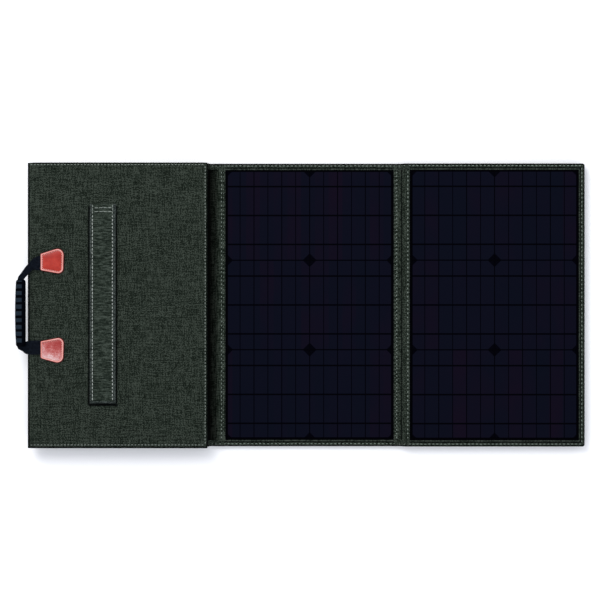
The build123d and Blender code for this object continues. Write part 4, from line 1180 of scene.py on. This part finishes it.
# ------------------------------------------------------------------ ribbed grip
def grip():
    y0, y1 = px(0, 346.6, 40)[1], px(0, 279.8, 40)[1]
    L = y1 - y0
    n_y, n_a = 210, 56
    pitch = 11.8
    verts, faces, fm = [], [], []
    for i in range(n_y + 1):
        t = i / n_y
        y = y0 + L * t
        bow = 1 - (2 * t - 1) ** 2
        xl = -498.2 - 1.8 * bow                # outer side bows away from the panel
        xr = -481.5 + 0.2 * bow
        endt = min(t, 1 - t) * L
        shrink = 1 - 0.16 * max(0.0, 1 - endt / 4.0) ** 1.5 - (0.10 if endt < 0.15 else 0)
        cx, w = (xl + xr) / 2, (xr - xl) / 2 * shrink
        h = 6.7 * shrink
        cz = 40.6
        ph = ((y - 3.0) / pitch) % 1.0
        g = 1 / (1 + math.exp(-(abs(ph - 0.5) - 0.30) * 60))     # 1 in the groove
        for k in range(n_a):
            a = 2 * math.pi * k / n_a
            ca, sa = math.cos(a), math.sin(a)
            ex = math.copysign(abs(ca) ** 0.72, ca)
            ez = math.copysign(abs(sa) ** 0.72, sa)
            ribbed = 1 / (1 + math.exp((ex - 0.36) * 26))           # 1 on the outer two thirds
            if endt < 3.0:
                ribbed *= endt / 3.0
            lump = 0.42 * math.exp(-((ex + 0.24) / 0.09) ** 2)      # shallow channel along the ribs
            side_keep = min(1.0, max(0.0, (ex + 0.97) / 0.22))
            r = 1 - ribbed * (0.14 * g * side_keep + 0.045 * lump * 3) - (1 - ribbed) * 0.03
            if abs(ex - 0.36) < 0.08:
                r -= 0.035
            verts.append((cx + w * ex * r, y, cz + h * ez * r))
    for i in range(n_y):
        yc = y0 + L * (i + 0.5) / n_y
        ph = ((yc - 3.0) / pitch) % 1.0
        for k in range(n_a):
            a, b = i * n_a + k, i * n_a + (k + 1) % n_a
            faces.append((a, b, b + n_a, a + n_a))
            ca = math.cos(2 * math.pi * (k + 0.5) / n_a)
            ex = math.copysign(abs(ca) ** 0.72, ca)
            # rib tops take the navy rubber; grooves and the smooth side stay near-black as painted shade
            fm.append(1 if (-0.86 < ex < 0.36 and abs(ph - 0.5) < 0.30 and 3 < yc - y0 < L - 1.5) else 0)
    faces.append(tuple(range(n_a))); fm.append(0)
    faces.append(tuple(n_y * n_a + k for k in reversed(range(n_a)))); fm.append(0)
    o = add_mesh("grip", verts, faces, [RUBBER_AND_GROOVE_SHADE, RUBBER_RIB], True, fm)
    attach(o, "handle"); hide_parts("handle_grip")


grip()


# ------------------------------------------------------------------ pouch
def pouch():
    x0, x1, y0, y1, r = -442.0, -202.0, -170.0, 170.0, 8.0
    rings = []
    prof = [(60, 0.05), (20, 0.05), (6, 0.05), (2.0, 0.15), (0.6, 0.6), (0.0, 1.8), (-1.0, 5.0), (-1.4, 8.0), (-1.1, 11.0), (-0.4, 14.4), (-0.2, 15.9),
            (1.2, 15.9), (1.4, 14.0), (1.0, 8.0), (1.4, 2.2), (2.4, 1.3), (20, 1.25), (60, 1.25)]
    for d, z in prof:
        ring = []
        for (x, y) in rr(x0 + max(d, 0), x1 - max(d, 0), y0 + max(d, 0), y1 - max(d, 0), max(r - max(d, 0), 0.8), 48, 64, 6):
            k = -min(d, 0)
            front = abs(y - y0) < 4
            nx = 1 if x > x1 - 4 else (-1 if x < x0 + 4 else 0)
            ny = 1 if y > y1 - 4 else 0
            wv = 0.7 + 0.6 * wob(x, y, 22, 22, 9.1)
            xx, yy = x + nx * k * wv, y + (0 if front else ny * k * wv)
            ring.append((xx, yy, z))
        rings.append(ring)
    o = ring_solid("pouch_cloth", rings, CANVAS)
    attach(o, "leaf_2"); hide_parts("pouch_panel", "pouch_gusset")
    # piping round the lower edge
    ring_path = rr(x0 - 0.6, x1 + 0.6, y0 - 0.2, y1 + 0.6, r, 48, 64, 6)
    verts, faces = [], []
    m = 8
    P = np.array(ring_path)
    T = np.roll(P, -1, 0) - np.roll(P, 1, 0)
    T /= np.linalg.norm(T, axis=1)[:, None]
    for p, t in zip(P, T):
        n2 = np.array([t[1], -t[0]])
        for k in range(m):
            a = 2 * math.pi * k / m
            verts.append((p[0] + n2[0] * 0.9 * math.cos(a), p[1] + n2[1] * 0.9 * math.cos(a), 1.4 + 0.9 * math.sin(a)))
    n = len(P)
    for i in range(n):
        for k in range(m):
            a, b = i * m + k, i * m + (k + 1) % m
            c, d = ((i + 1) % n) * m + (k + 1) % m, ((i + 1) % n) * m + k
            faces.append((a, b, c, d))
    q = add_mesh("pouch_piping", verts, faces, BINDING_AND_EDGE_SHADE)
    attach(q, "leaf_2")
    items = []
    for (a, b) in (((x0 + 10, y1 + 0.55), (x1 - 10, y1 + 0.55)), ((x1 + 0.55, y1 - 10), (x1 + 0.55, y0 + 10)), ((x0 - 0.55, y1 - 10), (x0 - 0.55, y0 + 10))):
        items += row(a, b, 13.6, 6.0, 4.2, 1.0, 0.9, 1, 0.0)
    stitch_mesh("pouch_stitches", items, THREAD_DIM, "leaf_2")
    # zip: two tapes and the coil
    zy = -170.15
    for s, tag in ((-1, "lower"), (1, "upper")):
        xs = axis_list(-434, -210, 4)
        zs = [0.5, 0.8, 2.2, 4.4, 5.2, 5.5]
        verts = [(x, zy - 0.62 - 0.05 * math.sin(x * 1.3), 8 + s * z) for x in xs for z in zs] + [(x, zy + 0.05, 8 + s * z) for x in xs for z in zs]
        nn = len(zs); off = len(xs) * nn
        faces = []
        for i in range(len(xs) - 1):
            for j in range(nn - 1):
                a, b, c, d = i * nn + j, (i + 1) * nn + j, (i + 1) * nn + j + 1, i * nn + j + 1
                faces += [(a, b, c, d), (off + a, off + d, off + c, off + b)]
            for j in (0, nn - 1):
                a, b = i * nn + j, (i + 1) * nn + j
                faces.append((a, b, off + b, off + a))
        for j in range(nn - 1):
            for i in (0, len(xs) - 1):
                a, b = i * nn + j, i * nn + j + 1
                faces.append((a, b, off + b, off + a))
        z = add_mesh(f"zip_tape_{tag}", verts, faces, BINDING_AND_EDGE_SHADE)
        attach(z, "leaf_2")
        if tag == "lower":
            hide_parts("zip_tape")
    items = []
    verts, faces = [], []
    x = -430.0
    while x < -214:
        for s in (-1, 1):
            b = len(verts)
            cx, cz = x + (0.75 if s > 0 else 0), 8 + s * 0.55
            for (dx, dz) in ((-0.5, -0.75), (0.5, -0.75), (0.5, 0.75), (-0.5, 0.75)):
                verts.append((cx + dx, zy - 0.55, cz + dz))
            for (dx, dz) in ((-0.32, -0.55), (0.32, -0.55), (0.32, 0.55), (-0.32, 0.55)):
                verts.append((cx + dx, zy - 1.75, cz + dz))
            faces += [(b, b + 1, b + 2, b + 3), (b + 4, b + 7, b + 6, b + 5), (b, b + 4, b + 5, b + 1), (b + 1, b + 5, b + 6, b + 2), (b + 2, b + 6, b + 7, b + 3), (b + 3, b + 7, b + 4, b)]
        x += 1.5
    z = add_mesh("zip_teeth", verts, faces, ZIP_PLASTIC, smooth=False)
    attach(z, "leaf_2"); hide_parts("zip_coil")


pouch()

# ------------------------------------------------------------------ materials of the CAD pieces that stay
CAD_MATS = {"_cells": CELL, "_backsheet": BACKSHEET, "_board": BOARD, "_pad": PAD}
OTHER = {"webbing_ends": WEBBING, "zip_slider": ZIP_METAL, "zip_pull": BINDING_AND_EDGE_SHADE, "output_box_base": BOX_PLASTIC, "output_box_lid": BOX_PLASTIC,
         "output_box_screws": STEEL, "circuit_board": CIRCUIT, "bypass_diodes": BOX_PLASTIC, "dc_socket": BOX_PLASTIC, "usb_socket": STEEL}
for name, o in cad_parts.items():
    mat = OTHER.get(name)
    if mat is None:
        for k, v in CAD_MATS.items():
            if name.endswith(k):
                mat = v
    if name == "circuit_board":
        mat = CIRCUIT
    if mat is None:
        continue
    for s in o.material_slots:
        s.material = mat
    if not o.material_slots:
        o.data.materials.append(mat)
